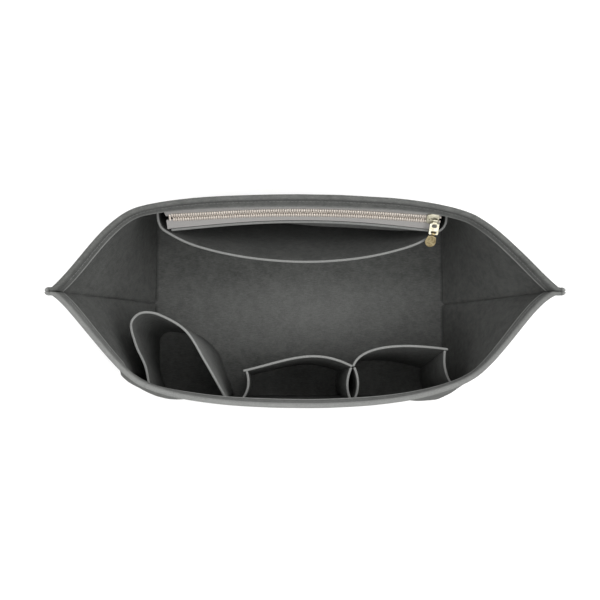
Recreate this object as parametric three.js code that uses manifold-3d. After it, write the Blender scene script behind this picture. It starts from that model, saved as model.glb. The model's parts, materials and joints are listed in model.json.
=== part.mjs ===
// Felt organizer insert for a handbag, open at the top, with a zip pocket and a slip pocket on the back wall
// and a bottle holder and two gusseted pockets on the front wall. Millimetres, +Z up.
// The origin is the middle of the base's underside, +X runs along the length and +Y points to the back wall.
import * as THREE from "three";
import { mergeVertices } from "three/addons/utils/BufferGeometryUtils.js";
import Module from "manifold-3d";

const wasm = await Module();
wasm.setup();

// Felt and base
const FELT = 2.2; // thickness of every felt piece
const SEAM_GAP = 0.3; // space left between two pieces that are sewn together
const BASE_LENGTH = 300;
const BASE_DEPTH = 190;
const BASE_CORNER = 10; // radius of the base's corners
const FLOOR_GAP = 0.8; // under the edges of the pockets, which lean, as they stand on the base
const BASE_PROUD = 0.6; // the base stands this far below the walls' lower edges

// Front and back panels, which meet at a standing seam on each side
const WALL_HEIGHT = 168; // measured up the felt
const FLANGE = 8; // seam allowance that stands out along each side seam
const RIM_FLANGE = 4; // what stands out of it at the rim, where the walls part sooner
const WALL_BOW = 1.25; // the walls rise upright from the base and lean more towards the rim
const SEAM_TURN = 3; // how tightly the felt turns into the flange at the base
const TIP_REACH = 71.3; // how far the side seams lean out at the rim, past the base's ends
const TIP_HANDLE = 25; // length of the rim's swing out of the side seam
const SHOULDER_INSET = 4; // the rim's shoulders stand this far inside the base's ends
const SHOULDER_HANDLE = 29; // length of the bend on the outer side of a shoulder
const CROWN_HANDLE = 10.5; // length of the bend on the inner side of a shoulder
const CROWN_FLAT = 100; // half the length over which the rim runs nearly straight
const BACK_LEAN = 15.2; // how far the back rim leans in from the base's edge
const FRONT_LEAN = -1.7; // the same for the front rim, which leans out a little
// each shoulder's drop from the rim's middle, its bend's further fall, and the tip's swing off the seam
const BACK_LEFT = { drop: 11.9, fall: 8.7, swing: 16.9 };
const BACK_RIGHT = { drop: 17.6, fall: 18.4, swing: 14.7 };
const FRONT_LEFT = { drop: 20.8, fall: 19.4, swing: 12.8 };
const FRONT_RIGHT = { drop: 30, fall: 24.3, swing: 0.7 };

// Hem facings inside the rim
const HEM = 12; // depth of the facings
const HEM_FLARE = 3; // how far their lower edges spring off the walls, at the middle
const HEM_END = 6; // the facings stop this far from the side seams

// Zip pocket
const TAPE_TOP = 26.9; // from the rim down the felt to the upper tape's edge
const ZIP_DROP = 5.5; // from that edge down to the chain
const ZIP_STANDOFF = 8.8; // from that edge to the chain on the level, at the middle
const TAPE_HALF_LENGTH = 120.5;
const TAPE_PAST_LEFT = 6; // the tapes reach this much further to the left
const TAPE_THICKNESS = 0.6;
const LOWER_TAPE = { middle: 6.8, end: 9.5 }; // from the chain's middle to the felt panel over the tape
const ZIP_PANEL_INSET = 3.5; // from the tapes' ends to the panel's ends
const ZIP_PANEL_FOOT = 45; // height at which the pocket's felt panel is sewn to the back wall

// Zip chain, stops, slider and pull
const TOOTH_PITCH = 2.1;
const TOOTH_WIDTH = 0.8;
const TOOTH_REACH = 0.55; // past the chain's middle line
const TEETH_SPINE = 1.0; // width of the bead that joins the teeth of one row
const TEETH_BACK = 3; // from the chain's middle line to the back of a row
const TEETH_THICKNESS = 2; // of the bead
const TOOTH_THICKNESS = 1.8;
const STOP_LENGTH = 1.8;
const SLIDER_LENGTH = 11;
const SLIDER_WIDTH = 10.4;
const SLIDER_TAIL_WIDTH = 8.4;
const SLIDER_PLATE = 1.1; // thickness of each plate
const SLIDER_CLEARANCE = 0.35; // round the teeth
const TAPE_CLEARANCE = 0.5; // above and below the tapes where they leave the slider
const SLIDER_FROM_END = 7.5; // slider's middle to the tapes' right-hand ends, zip closed
// square bar of the crown, its centre above the plate, and how far towards the slider's nose the crown stands
const CROWN = { bar: 1, length: 8.8, leg: 1.2, centre: 2.3, forward: 0.9 };
const LINK_WIDTH = 8.6;
const LINK_THICKNESS = 1.1;
const LINK_CORNER = 1.2; // radius
const LINK_EYE = { inner: 0.95, wall: 0.75, length: 4 }; // the link's upper end, rolled round the crown
const LINK_SLID = 1; // how far the link has slid along the crown, towards the slider's nose
const LINK_SHOULDER = { from: 2.4, to: 3.2 }; // where the link widens, below the crown
const LINK_WINDOW = { from: 3.5, to: 6.6, width: 4.8 };
const LINK_HINGE = 12.3; // from the crown to the end bar that carries the tab
const END_BAR = 1.4; // width of that bar
const LINK_SLOT = { depth: 1.7, width: 5.2 }; // above the end bar
const TAB_EYE = { inner: 1.2, wall: 0.6, length: 3.2 }; // the tab's upper end, rolled round the end bar
const TAB_LENGTH = 12.4; // from the end bar to the round end
const TAB_WIDTH = 9.8;
const TAB_NECK = { width: 7.6, at: 2.4 }; // width below the eye, and how far from the end bar it starts
const TAB_THICKNESS = 1.2;
const TAB_LEAN = 10; // degrees that the tab lies askew on the end bar
const TAB_DROOP = 8; // degrees that the tab hangs below the link's slope
const PULL_CLEARANCE = 0.9; // from the pull to the middle of the lip, where it comes closest

// Slip pocket on the back wall
const SLIP_PAST_TAPE = { left: 5, right: 7.4 }; // from the tapes' ends to the lip's ends
const SLIP_FOOT_HALF_WIDTH = 136;
const SLIP_LIP_DROP = 39; // from the back rim down the felt to the lip
const SLIP_END_RISE = 2; // the lip's ends stand this much higher
const SLIP_RISE_POWER = 12; // a higher power keeps that rise closer to the ends
const SLIP_SHOULDER = { left: 24.5, right: 22 }; // how far the lip stands off the wall beside its ends
const SLIP_BELLY = 57; // how far it stands off at the middle
const SLIP_TURN = { inset: 1, share: 0.6, length: 8 }; // the lip's turn from its end to the shoulder
// points from shoulder to belly: share of the end's place along the wall, and share of the way out
const SLIP_BEND = [{ along: 0.74, out: 0.48 }, { along: 0.4, out: 0.86 }];

// Bottle holder in the front left corner, a loop of felt that stands open off the leaning side wall
const BOTTLE_HEIGHT = 125;
const BOTTLE_LEFT_SEAM = 137; // along the front wall, left of its middle
const BOTTLE_RIGHT_SEAM = 70;
const BOTTLE_DEPTH = 78; // from the base's front edge to the loop's far side at the lip
const BOTTLE_FOOT_DEPTH = 66; // the same at the base
const BOTTLE_OVERHANG = 7; // how far the lip leans out over the base's left end
const BOTTLE_FOOT_INSET = 3.3; // from the base's left end to the loop's foot
// points of the loop in plan, from its leftmost place and short of its far side
const BOTTLE_LIP_PLAN = [[13, 48], [4, 28], [0, 9], [7, 1], [17, 0], [27, 3], [48, 16], [66, 44]];
const BOTTLE_FOOT_PLAN = [
  [1.1, 42], [0, 18], [1.1, 6], [8.7, 0], [22, 0.6], [40, 5], [60, 22], [68, 42],
];

// Two pockets on the front wall, sharing one seam; places are along that wall from its middle, and off it
const POCKET_HEIGHT = 110;
const POCKET_TAPER = 0.8; // depth at the foot over depth at the lip
const POCKET_EAR = 3; // seam allowance past the outer corners
const POCKET_SEAM_PLACE = 42;
const POCKET_SEAM_OFF = 32;
const POCKET_SEAM_SPLIT = 0.8; // half the space between the two faces' ends
const LEFT_POCKET = { corner: -53.8, off: 25.3, bellyAt: -6, belly: 52, foot: -55.8, seamFoot: 39.5 };
const RIGHT_POCKET = { corner: 126.8, off: 39.3, bellyAt: 92.5, belly: 58.6, foot: 130.8, seamFoot: 48 };
const GUSSET_BEND = { outer: 6, inner: 3 }; // how far the bends of the gussets pull into their pocket

const wallHalfX = BASE_LENGTH / 2 + SEAM_GAP + FELT / 2;
const wallHalfY = BASE_DEPTH / 2 + SEAM_GAP + FELT / 2;
const cornerX = BASE_LENGTH / 2 - BASE_CORNER;
const cornerY = BASE_DEPTH / 2 - BASE_CORNER;
const seamY = (FELT + SEAM_GAP) / 2;
const sewn = FELT + SEAM_GAP; // spacing of two felt pieces sewn face to face
const butted = sewn + SEAM_GAP; // from a wall's middle to the end of a strip sewn on at its edge
const floor = FELT + FLOOR_GAP;

const felt = new THREE.MeshStandardMaterial({ color: 0x6c6e6c, roughness: 0.95, metalness: 0 });
const tapeCloth = new THREE.MeshStandardMaterial({ color: 0x8c8e8c, roughness: 0.85, metalness: 0 });
const roseMetal = new THREE.MeshStandardMaterial({ color: 0xb8a08c, roughness: 0.35, metalness: 1 });
const paleGold = new THREE.MeshStandardMaterial({ color: 0xb5ac8a, roughness: 0.3, metalness: 1 });

const part = new THREE.Group();

function addMesh(name, geometry, material, parent = part) {
  const mesh = new THREE.Mesh(geometry, material);
  mesh.name = name;
  parent.add(mesh);
  return mesh;
}

function extruded(outline, depth, curveSegments) {
  return new THREE.ExtrudeGeometry(outline, { depth, bevelEnabled: false, curveSegments });
}

const mix = THREE.MathUtils.lerp;

function steps(from, to, count) {
  return Array.from({ length: count + 1 }, (_, i) => mix(from, to, i / count));
}

// A sheet of even thickness round a middle surface, with points at the listed values of u and v
function sheet(surface, us, vs, thickness = FELT) {
  const tiny = 1e-3;
  const points = [];
  const normalAt = (u, v) => {
    const du = surface(Math.min(1, u + tiny), v).sub(surface(Math.max(0, u - tiny), v));
    const dv = surface(u, Math.min(1, v + tiny)).sub(surface(u, Math.max(0, v - tiny)));
    return du.cross(dv).normalize();
  };
  for (const face of [0.5, -0.5]) {
    for (const v of vs) {
      for (const u of us) {
        points.push(surface(u, v).addScaledVector(normalAt(u, v), face * thickness));
      }
    }
  }
  const columns = us.length;
  const rows = vs.length;
  const front = (i, j) => j * columns + i;
  const back = (i, j) => rows * columns + front(i, j);
  const index = [];
  const quad = (a, b, c, d) => index.push(a, b, c, a, c, d);
  for (let j = 0; j + 1 < rows; j++) {
    for (let i = 0; i + 1 < columns; i++) {
      quad(front(i, j), front(i + 1, j), front(i + 1, j + 1), front(i, j + 1));
      quad(back(i, j), back(i, j + 1), back(i + 1, j + 1), back(i + 1, j));
    }
  }
  for (let i = 0; i + 1 < columns; i++) {
    const top = rows - 1;
    quad(front(i, 0), back(i, 0), back(i + 1, 0), front(i + 1, 0));
    quad(front(i, top), front(i + 1, top), back(i + 1, top), back(i, top));
  }
  for (let j = 0; j + 1 < rows; j++) {
    const end = columns - 1;
    quad(front(0, j), front(0, j + 1), back(0, j + 1), back(0, j));
    quad(front(end, j), back(end, j), back(end, j + 1), front(end, j + 1));
  }
  return new THREE.BufferGeometry().setFromPoints(points).setIndex(index);
}

// One long wall: plan curves of its foot and its rim, from the left side seam's flange to the right one's
function makeWall(toBack, lean, leftShoulder, rightShoulder) {
  const foot = new THREE.Path();
  foot.moveTo(-wallHalfX - FLANGE, seamY);
  foot.lineTo(-wallHalfX - SEAM_TURN, seamY);
  foot.quadraticCurveTo(-wallHalfX, seamY, -wallHalfX, seamY + SEAM_TURN);
  foot.absarc(-cornerX, cornerY, wallHalfX - cornerX, Math.PI, Math.PI / 2, true);
  foot.absarc(cornerX, cornerY, wallHalfX - cornerX, Math.PI / 2, 0, true);
  foot.lineTo(wallHalfX, seamY + SEAM_TURN);
  foot.quadraticCurveTo(wallHalfX, seamY, wallHalfX + SEAM_TURN, seamY);
  foot.lineTo(wallHalfX + FLANGE, seamY);

  const tip = wallHalfX + TIP_REACH;
  const shoulder = BASE_LENGTH / 2 - SHOULDER_INSET;
  const crownY = wallHalfY - lean;
  const leftY = crownY - leftShoulder.drop;
  const rightY = crownY - rightShoulder.drop;
  const crownRise = CROWN_HANDLE / SHOULDER_HANDLE;
  const rim = new THREE.Path();
  rim.moveTo(-tip - RIM_FLANGE, seamY);
  rim.lineTo(-tip, seamY);
  rim.bezierCurveTo(
    -tip + TIP_HANDLE, seamY + leftShoulder.swing,
    -shoulder - SHOULDER_HANDLE, leftY - leftShoulder.fall,
    -shoulder, leftY,
  );
  rim.bezierCurveTo(
    -shoulder + CROWN_HANDLE, leftY + leftShoulder.fall * crownRise,
    -CROWN_FLAT, crownY,
    0, crownY,
  );
  rim.bezierCurveTo(
    CROWN_FLAT, crownY,
    shoulder - CROWN_HANDLE, rightY + rightShoulder.fall * crownRise,
    shoulder, rightY,
  );
  rim.bezierCurveTo(
    shoulder + SHOULDER_HANDLE, rightY - rightShoulder.fall,
    tip - TIP_HANDLE, seamY + rightShoulder.swing,
    tip, seamY,
  );
  rim.lineTo(tip + RIM_FLANGE, seamY);

  const length = foot.getLength();
  const side = toBack ? 1 : -1;
  const middle = (u, v) => {
    const low = foot.getPoint(u);
    const high = rim.getPoint(u);
    const rise = Math.sqrt(WALL_HEIGHT ** 2 - low.distanceToSquared(high));
    const plan = low.lerp(high, v ** WALL_BOW);
    return new THREE.Vector3(plan.x, side * plan.y, v * rise);
  };
  // a point so far along the wall from its middle, so far up the felt and so far off it on the level
  const standing = (along, up, off) => {
    const point = middle(0.5 + along / length, up / WALL_HEIGHT);
    point.y -= side * off;
    return point;
  };
  // a point so far off the wall, square to its inner face
  const lined = (u, v, off) => {
    const tiny = 1e-4;
    const run = middle(u + tiny, v).sub(middle(u - tiny, v));
    const climb = middle(u, v + tiny).sub(middle(u, v - tiny));
    const inward = run.cross(climb).normalize().multiplyScalar(side);
    return middle(u, v).addScaledVector(inward, off);
  };
  return { length, middle, standing, lined };
}

const backWall = makeWall(true, BACK_LEAN, BACK_LEFT, BACK_RIGHT);
const frontWall = makeWall(false, FRONT_LEAN, FRONT_LEFT, FRONT_RIGHT);

// Columns of a wall: close together at the corners and the side seams
function wallColumns(wall) {
  const end = wall.length / 2;
  const seam = end - FLANGE;
  const half = [
    ...steps(0, CROWN_FLAT, 3),
    ...steps(CROWN_FLAT, BASE_LENGTH / 2 - BASE_CORNER, 9).slice(1),
    ...steps(BASE_LENGTH / 2 - BASE_CORNER, BASE_LENGTH / 2 + BASE_CORNER, 7).slice(1),
    ...steps(BASE_LENGTH / 2 + BASE_CORNER * 2, seam - SEAM_TURN * 2, 7),
    ...steps(seam - SEAM_TURN, seam + SEAM_TURN, 4),
    end,
  ];
  const left = half.slice(1).reverse().map((along) => -along);
  return [...left, ...half].map((along) => 0.5 + along / wall.length);
}

const baseOutline = new THREE.Shape();
baseOutline.absarc(cornerX, cornerY, BASE_CORNER, 0, Math.PI / 2, false);
baseOutline.absarc(-cornerX, cornerY, BASE_CORNER, Math.PI / 2, Math.PI, false);
baseOutline.absarc(-cornerX, -cornerY, BASE_CORNER, Math.PI, Math.PI * 1.5, false);
baseOutline.absarc(cornerX, -cornerY, BASE_CORNER, Math.PI * 1.5, Math.PI * 2, false);
addMesh("base_panel", extruded(baseOutline, FELT, 6), felt);

const hemLine = 1 - HEM / WALL_HEIGHT;
const wallRows = [...steps(BASE_PROUD / WALL_HEIGHT, hemLine, 5), 1];
addMesh("back_panel", sheet(backWall.middle, wallColumns(backWall), wallRows), felt);
addMesh("front_panel", sheet(frontWall.middle, wallColumns(frontWall), wallRows), felt);

// Hem facings, sewn inside the rims and stopping short of the side seams; their lower edges spring inwards
function hemFacing(wall) {
  const surface = (u, v) => {
    const flare = HEM_FLARE * Math.cos(Math.PI * (u - 0.5)) ** 2;
    return wall.lined(u, v, sewn + flare * (1 - v) / (1 - hemLine));
  };
  const reach = (wall.length / 2 - FLANGE - HEM_END) / wall.length;
  const between = wallColumns(wall).filter((u) => Math.abs(u - 0.5) < reach);
  return sheet(surface, [0.5 - reach, ...between, 0.5 + reach], [hemLine, 1]);
}
addMesh("back_hem_facing", hemFacing(backWall), felt);
addMesh("front_hem_facing", hemFacing(frontWall), felt);

// Zip frame: x along the chain, across towards the rim in the tapes' slope, out towards the viewer.
// The chain follows the bowed wall on one circle, and the tapes slope down from the upper one's sewn edge.
const tapeOff = (FELT + TAPE_THICKNESS) / 2 + SEAM_GAP;
const tapeEdge = (along) => backWall.standing(along, WALL_HEIGHT - TAPE_TOP, tapeOff);
const tapeMiddle = tapeEdge(0);
const tapeBow = tapeMiddle.y - (tapeEdge(-TAPE_HALF_LENGTH).y + tapeEdge(TAPE_HALF_LENGTH).y) / 2;
const zipRadius = TAPE_HALF_LENGTH ** 2 / (2 * tapeBow) + tapeBow / 2;
const zipY = tapeMiddle.y - ZIP_STANDOFF;
const zipHeight = tapeMiddle.z - ZIP_DROP;
const zipTilt = Math.atan2(ZIP_DROP, ZIP_STANDOFF);
const zipCentreY = zipY - zipRadius; // the vertical axis that the slider travels round

function zipPoint(x, across, out) {
  const radius = zipRadius + across * Math.cos(zipTilt) - out * Math.sin(zipTilt);
  const angle = x / zipRadius;
  return new THREE.Vector3(
    radius * Math.sin(angle),
    zipCentreY + radius * Math.cos(angle),
    zipHeight + across * Math.sin(zipTilt) + out * Math.cos(zipTilt),
  );
}

function bendToZip(geometry) {
  const position = geometry.getAttribute("position");
  const point = new THREE.Vector3();
  for (let i = 0; i < position.count; i++) {
    point.fromBufferAttribute(position, i);
    point.copy(zipPoint(point.x, point.y, point.z));
    position.setXYZ(i, point.x, point.y, point.z);
  }
  return geometry;
}

const tapeStart = TEETH_BACK + SEAM_GAP;
const tapeLeft = -TAPE_HALF_LENGTH - TAPE_PAST_LEFT;
const tapeColumns = steps(0, 1, 32);

function upperTape(s, t) {
  const x = mix(tapeLeft, TAPE_HALF_LENGTH, s);
  const chainSide = zipPoint(x, tapeStart, 0);
  return chainSide.lerp(tapeEdge(x), t);
}
addMesh("upper_zip_tape", sheet(upperTape, tapeColumns, steps(0, 1, 2), TAPE_THICKNESS), tapeCloth);

// how far below the chain the felt panel's edge runs: it dips towards the tapes' ends
function tapeDip(x) {
  return mix(LOWER_TAPE.middle, LOWER_TAPE.end, (x / TAPE_HALF_LENGTH) ** 2);
}

function lowerTape(s, t) {
  const x = mix(tapeLeft, TAPE_HALF_LENGTH, s);
  return zipPoint(x, -mix(tapeDip(x), tapeStart, t), 0);
}
addMesh("lower_zip_tape", sheet(lowerTape, tapeColumns, [0, 1], TAPE_THICKNESS), tapeCloth);

// Felt panel of the zip pocket: its upper edge takes the lower tape, its foot is sewn to the back wall
function zipPanel(s, t) {
  const x = mix(tapeLeft + ZIP_PANEL_INSET, TAPE_HALF_LENGTH - ZIP_PANEL_INSET, s);
  const low = backWall.standing(x, ZIP_PANEL_FOOT, sewn);
  const high = zipPoint(x, -tapeDip(x), 0);
  high.y -= SEAM_GAP + FELT / 2 + TAPE_THICKNESS / 2;
  high.z += TAPE_THICKNESS;
  return low.lerp(high, t);
}
addMesh("zip_pocket_panel", sheet(zipPanel, steps(0, 1, 20), steps(0, 1, 3)), felt);

// Teeth: each row is a comb of teeth on a bead, and the rows stand half a pitch apart
const sliderX = TAPE_HALF_LENGTH - SLIDER_FROM_END;
const bottomStopX = tapeLeft + STOP_LENGTH * 2;
const chainStart = bottomStopX + STOP_LENGTH / 2 + SEAM_GAP;
const chainEnd = sliderX + SEAM_GAP;

function teethRow(side, shift) {
  const count = Math.floor((chainEnd - chainStart - TOOTH_PITCH) / TOOTH_PITCH);
  const bead = (s, t) => {
    const across = TEETH_BACK - TEETH_SPINE * (1 - t);
    return zipPoint(mix(chainStart, chainEnd, s), side * across, 0);
  };
  const solids = [toSolid(sheet(bead, steps(0, 1, count), [0, 1], TEETH_THICKNESS))];
  const length = TEETH_BACK - TEETH_SPINE / 2 + TOOTH_REACH;
  for (let i = 0; i < count; i++) {
    const x = chainStart + shift + (i + 0.5) * TOOTH_PITCH;
    const tooth = new THREE.BoxGeometry(TOOTH_WIDTH, length, TOOTH_THICKNESS);
    tooth.translate(x, side * (length / 2 - TOOTH_REACH), 0);
    solids.push(toSolid(bendToZip(tooth)));
  }
  return fromSolid(wasm.Manifold.union(solids));
}
addMesh("upper_zip_teeth", teethRow(1, 0), roseMetal);
addMesh("lower_zip_teeth", teethRow(-1, TOOTH_PITCH / 2), roseMetal);

// Stops: one on each row past the closed slider, and one across both rows at the other end
const stopHeight = TEETH_THICKNESS + SLIDER_CLEARANCE;
const topStopX = sliderX + SLIDER_LENGTH / 2 + SEAM_GAP + STOP_LENGTH / 2;
for (const [name, side] of [["upper_top_stop", 1], ["lower_top_stop", -1]]) {
  const width = TEETH_BACK - TEETH_SPINE;
  const stop = new THREE.BoxGeometry(STOP_LENGTH, width, stopHeight);
  stop.translate(topStopX, side * (TEETH_BACK - width / 2), 0);
  addMesh(name, bendToZip(stop), roseMetal);
}
const bottomStop = new THREE.BoxGeometry(STOP_LENGTH, TEETH_BACK * 2, stopHeight);
bottomStop.translate(bottomStopX, 0, 0);
addMesh("bottom_stop", bendToZip(bottomStop), roseMetal);

// The slider's own frame, on the chain at the zip's closed end
const sliderTurn = new THREE.Group();
sliderTurn.position.set(0, zipCentreY, zipHeight);
sliderTurn.rotation.z = -sliderX / zipRadius;
const slider = new THREE.Group();
slider.position.set(0, zipRadius, 0);
slider.rotation.x = zipTilt;
sliderTurn.add(slider);
part.add(sliderTurn);

function toSolid(geometry) {
  const bare = geometry.clone();
  bare.deleteAttribute("normal");
  bare.deleteAttribute("uv");
  const merged = mergeVertices(bare, 1e-4);
  const vertProperties = new Float32Array(merged.getAttribute("position").array);
  const triVerts = new Uint32Array(merged.index.array);
  return new wasm.Manifold(new wasm.Mesh({ numProp: 3, vertProperties, triVerts }));
}

function fromSolid(solid) {
  const mesh = solid.getMesh();
  const geometry = new THREE.BufferGeometry();
  geometry.setAttribute("position", new THREE.BufferAttribute(mesh.vertProperties, 3));
  return geometry.setIndex(new THREE.BufferAttribute(mesh.triVerts, 1));
}

function block(sizeX, sizeY, sizeZ, x, y, z) {
  return toSolid(new THREE.BoxGeometry(sizeX, sizeY, sizeZ).translate(x, y, z));
}

const channelHalf = TEETH_THICKNESS / 2 + SLIDER_CLEARANCE;
const plateTop = channelHalf + SLIDER_PLATE;
const barHeight = plateTop + CROWN.centre;

// Slider: two plates with turned-in sides, a wedge that parts the rows, and the crown that holds the pull
function sliderBody() {
  const tail = -SLIDER_LENGTH / 2;
  const nose = SLIDER_LENGTH / 2;
  const round = SLIDER_TAIL_WIDTH / 4;
  const outline = new THREE.Shape();
  outline.moveTo(tail + round, -SLIDER_TAIL_WIDTH / 2);
  outline.lineTo(0, -SLIDER_WIDTH / 2);
  outline.lineTo(nose - round, -SLIDER_WIDTH / 2);
  outline.quadraticCurveTo(nose, -SLIDER_WIDTH / 2, nose, -SLIDER_WIDTH / 2 + round);
  outline.lineTo(nose, SLIDER_WIDTH / 2 - round);
  outline.quadraticCurveTo(nose, SLIDER_WIDTH / 2, nose - round, SLIDER_WIDTH / 2);
  outline.lineTo(0, SLIDER_WIDTH / 2);
  outline.lineTo(tail + round, SLIDER_TAIL_WIDTH / 2);
  outline.quadraticCurveTo(tail, SLIDER_TAIL_WIDTH / 2, tail, SLIDER_TAIL_WIDTH / 2 - round);
  outline.lineTo(tail, -SLIDER_TAIL_WIDTH / 2 + round);
  outline.quadraticCurveTo(tail, -SLIDER_TAIL_WIDTH / 2, tail + round, -SLIDER_TAIL_WIDTH / 2);
  const full = extruded(outline, plateTop * 2, 4).translate(0, 0, -plateTop);

  const through = SLIDER_LENGTH * 2;
  const teethChannel = block(through, (TEETH_BACK + SLIDER_CLEARANCE) * 2, channelHalf * 2, 0, 0, 0);
  const tapeSlot = block(through, through, TAPE_THICKNESS + TAPE_CLEARANCE * 2, 0, 0, 0);

  const wedgeStart = SEAM_GAP * 2;
  const wedge = new THREE.Shape();
  wedge.moveTo(wedgeStart, 0);
  wedge.lineTo(nose / 2, -TEETH_BACK / 2);
  wedge.lineTo(nose, -TEETH_BACK / 3);
  wedge.lineTo(nose, TEETH_BACK / 3);
  wedge.lineTo(nose / 2, TEETH_BACK / 2);
  const wedgeHeight = channelHalf * 2 + SLIDER_PLATE;
  const post = extruded(wedge, wedgeHeight, 1).translate(0, 0, -wedgeHeight / 2);

  const half = CROWN.length / 2;
  const top = barHeight + CROWN.bar / 2;
  const under = barHeight - CROWN.bar / 2;
  const root = plateTop - SLIDER_PLATE / 2;
  const arch = new THREE.Shape();
  arch.moveTo(-half, root);
  arch.lineTo(-half + CROWN.leg, root);
  arch.lineTo(-half + CROWN.leg, under);
  arch.lineTo(half - CROWN.leg, under);
  arch.lineTo(half - CROWN.leg, root);
  arch.lineTo(half, root);
  arch.lineTo(half, under);
  arch.quadraticCurveTo(half, top, half - CROWN.leg, top);
  arch.lineTo(-half + CROWN.leg, top);
  arch.quadraticCurveTo(-half, top, -half, under);
  const crown = extruded(arch, CROWN.bar, 4).rotateX(Math.PI / 2);
  crown.translate(CROWN.forward, CROWN.bar / 2, 0);

  const shells = toSolid(full).subtract(teethChannel).subtract(tapeSlot);
  return fromSolid(shells.add(toSolid(post)).add(toSolid(crown)));
}
addMesh("slider_body", sliderBody(), paleGold, slider);

// Slip pocket: a wide panel sewn to the back wall at its foot and ends, with a lip that bellies out
function slipSide(end, outward, shoulder) {
  const bend = SLIP_BEND.map(({ along, out }) => {
    return new THREE.Vector2(outward * end * along, mix(shoulder, SLIP_BELLY, out));
  });
  return [
    new THREE.Vector2(outward * end, sewn),
    new THREE.Vector2(outward * (end - SLIP_TURN.inset), shoulder * SLIP_TURN.share),
    new THREE.Vector2(outward * (end - SLIP_TURN.length), shoulder),
    ...bend,
  ];
}
const slipLip = new THREE.SplineCurve([
  ...slipSide(SLIP_PAST_TAPE.left - tapeLeft, -1, SLIP_SHOULDER.left),
  new THREE.Vector2(0, SLIP_BELLY),
  ...slipSide(TAPE_HALF_LENGTH + SLIP_PAST_TAPE.right, 1, SLIP_SHOULDER.right).reverse(),
]);

function slipPocket(s, t) {
  const lip = slipLip.getPointAt(s);
  const footAlong = mix(-SLIP_FOOT_HALF_WIDTH, SLIP_FOOT_HALF_WIDTH, s);
  const top = WALL_HEIGHT - SLIP_LIP_DROP + SLIP_END_RISE * (2 * s - 1) ** SLIP_RISE_POWER;
  return backWall.standing(mix(footAlong, lip.x, t), mix(floor, top, t), mix(sewn, lip.y, t));
}
addMesh("slip_pocket", sheet(slipPocket, steps(0, 1, 44), steps(0, 1, 5)), felt);

// Pull: a flat link rolled round the crown and a tab rolled round the link's end, over the slip pocket's lip
const pullForward = CROWN.forward + LINK_SLID;
const pull = new THREE.Group();
pull.position.set(pullForward, 0, barHeight);
slider.add(pull);

// the slope at which the pull clears the lip at one place along it, where it is long enough to reach the lip
function dropOverLip(x) {
  const bar = zipPoint(x, 0, barHeight);
  const share = steps(0, 1, 400).find((s) => slipLip.getPointAt(s).x >= x);
  const lip = slipPocket(share, 1);
  const away = bar.y - lip.y - FELT / 2;
  const above = bar.z - lip.z - PULL_CLEARANCE - TAB_EYE.inner - TAB_EYE.wall;
  return away > LINK_HINGE + TAB_LENGTH ? Math.PI / 2 : Math.atan2(above, away);
}
const sliderOpenX = bottomStopX + STOP_LENGTH / 2 + SEAM_GAP + SLIDER_LENGTH / 2;
const tabLean = THREE.MathUtils.degToRad(TAB_LEAN);
const tabReach = TAB_WIDTH / 2 + TAB_LENGTH * Math.sin(tabLean);
const placesOnLip = steps(sliderOpenX + pullForward - tabReach, sliderX + pullForward + tabReach, 40);
const pullDrop = Math.min(...placesOnLip.map(dropOverLip));
pull.rotation.x = pullDrop - zipTilt; // from here -Y runs down the pull

function rolledEye({ inner, wall, length }) {
  const section = new THREE.Shape();
  section.absarc(0, 0, inner + wall, 0, Math.PI * 2, false);
  const bore = new THREE.Path();
  bore.absarc(0, 0, inner, 0, Math.PI * 2, true);
  section.holes.push(bore);
  const eye = extruded(section, length, 8).translate(0, 0, -length / 2);
  return toSolid(eye.rotateY(Math.PI / 2));
}

function flatPlate(outline, thickness) {
  return toSolid(extruded(outline, thickness, 6).translate(0, 0, -thickness / 2));
}

// a window cut through a plate, from one place down the plate to another, with rounded ends
function windowPath(from, to, width) {
  const round = (to - from) / 2;
  const middle = -(from + to) / 2;
  const path = new THREE.Path();
  path.absarc(width / 2 - round, middle, round, Math.PI / 2, -Math.PI / 2, true);
  path.absarc(-width / 2 + round, middle, round, -Math.PI / 2, -Math.PI * 1.5, true);
  return path;
}

function pullLink() {
  const half = LINK_WIDTH / 2;
  const end = LINK_HINGE + END_BAR / 2;
  const start = LINK_EYE.inner + LINK_EYE.wall / 2;
  const outline = new THREE.Shape();
  outline.moveTo(LINK_EYE.length / 2, -start);
  outline.lineTo(-LINK_EYE.length / 2, -start);
  outline.lineTo(-LINK_EYE.length / 2, -LINK_SHOULDER.from);
  outline.lineTo(-half, -LINK_SHOULDER.to);
  outline.absarc(-half + LINK_CORNER, -end + LINK_CORNER, LINK_CORNER, Math.PI, Math.PI * 1.5, false);
  outline.absarc(half - LINK_CORNER, -end + LINK_CORNER, LINK_CORNER, Math.PI * 1.5, Math.PI * 2, false);
  outline.lineTo(half, -LINK_SHOULDER.to);
  outline.lineTo(LINK_EYE.length / 2, -LINK_SHOULDER.from);
  const slotEnd = LINK_HINGE - END_BAR / 2;
  outline.holes.push(windowPath(LINK_WINDOW.from, LINK_WINDOW.to, LINK_WINDOW.width));
  outline.holes.push(windowPath(slotEnd - LINK_SLOT.depth, slotEnd, LINK_SLOT.width));
  return fromSolid(flatPlate(outline, LINK_THICKNESS).add(rolledEye(LINK_EYE)));
}
addMesh("pull_link", pullLink(), paleGold, pull);

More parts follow.
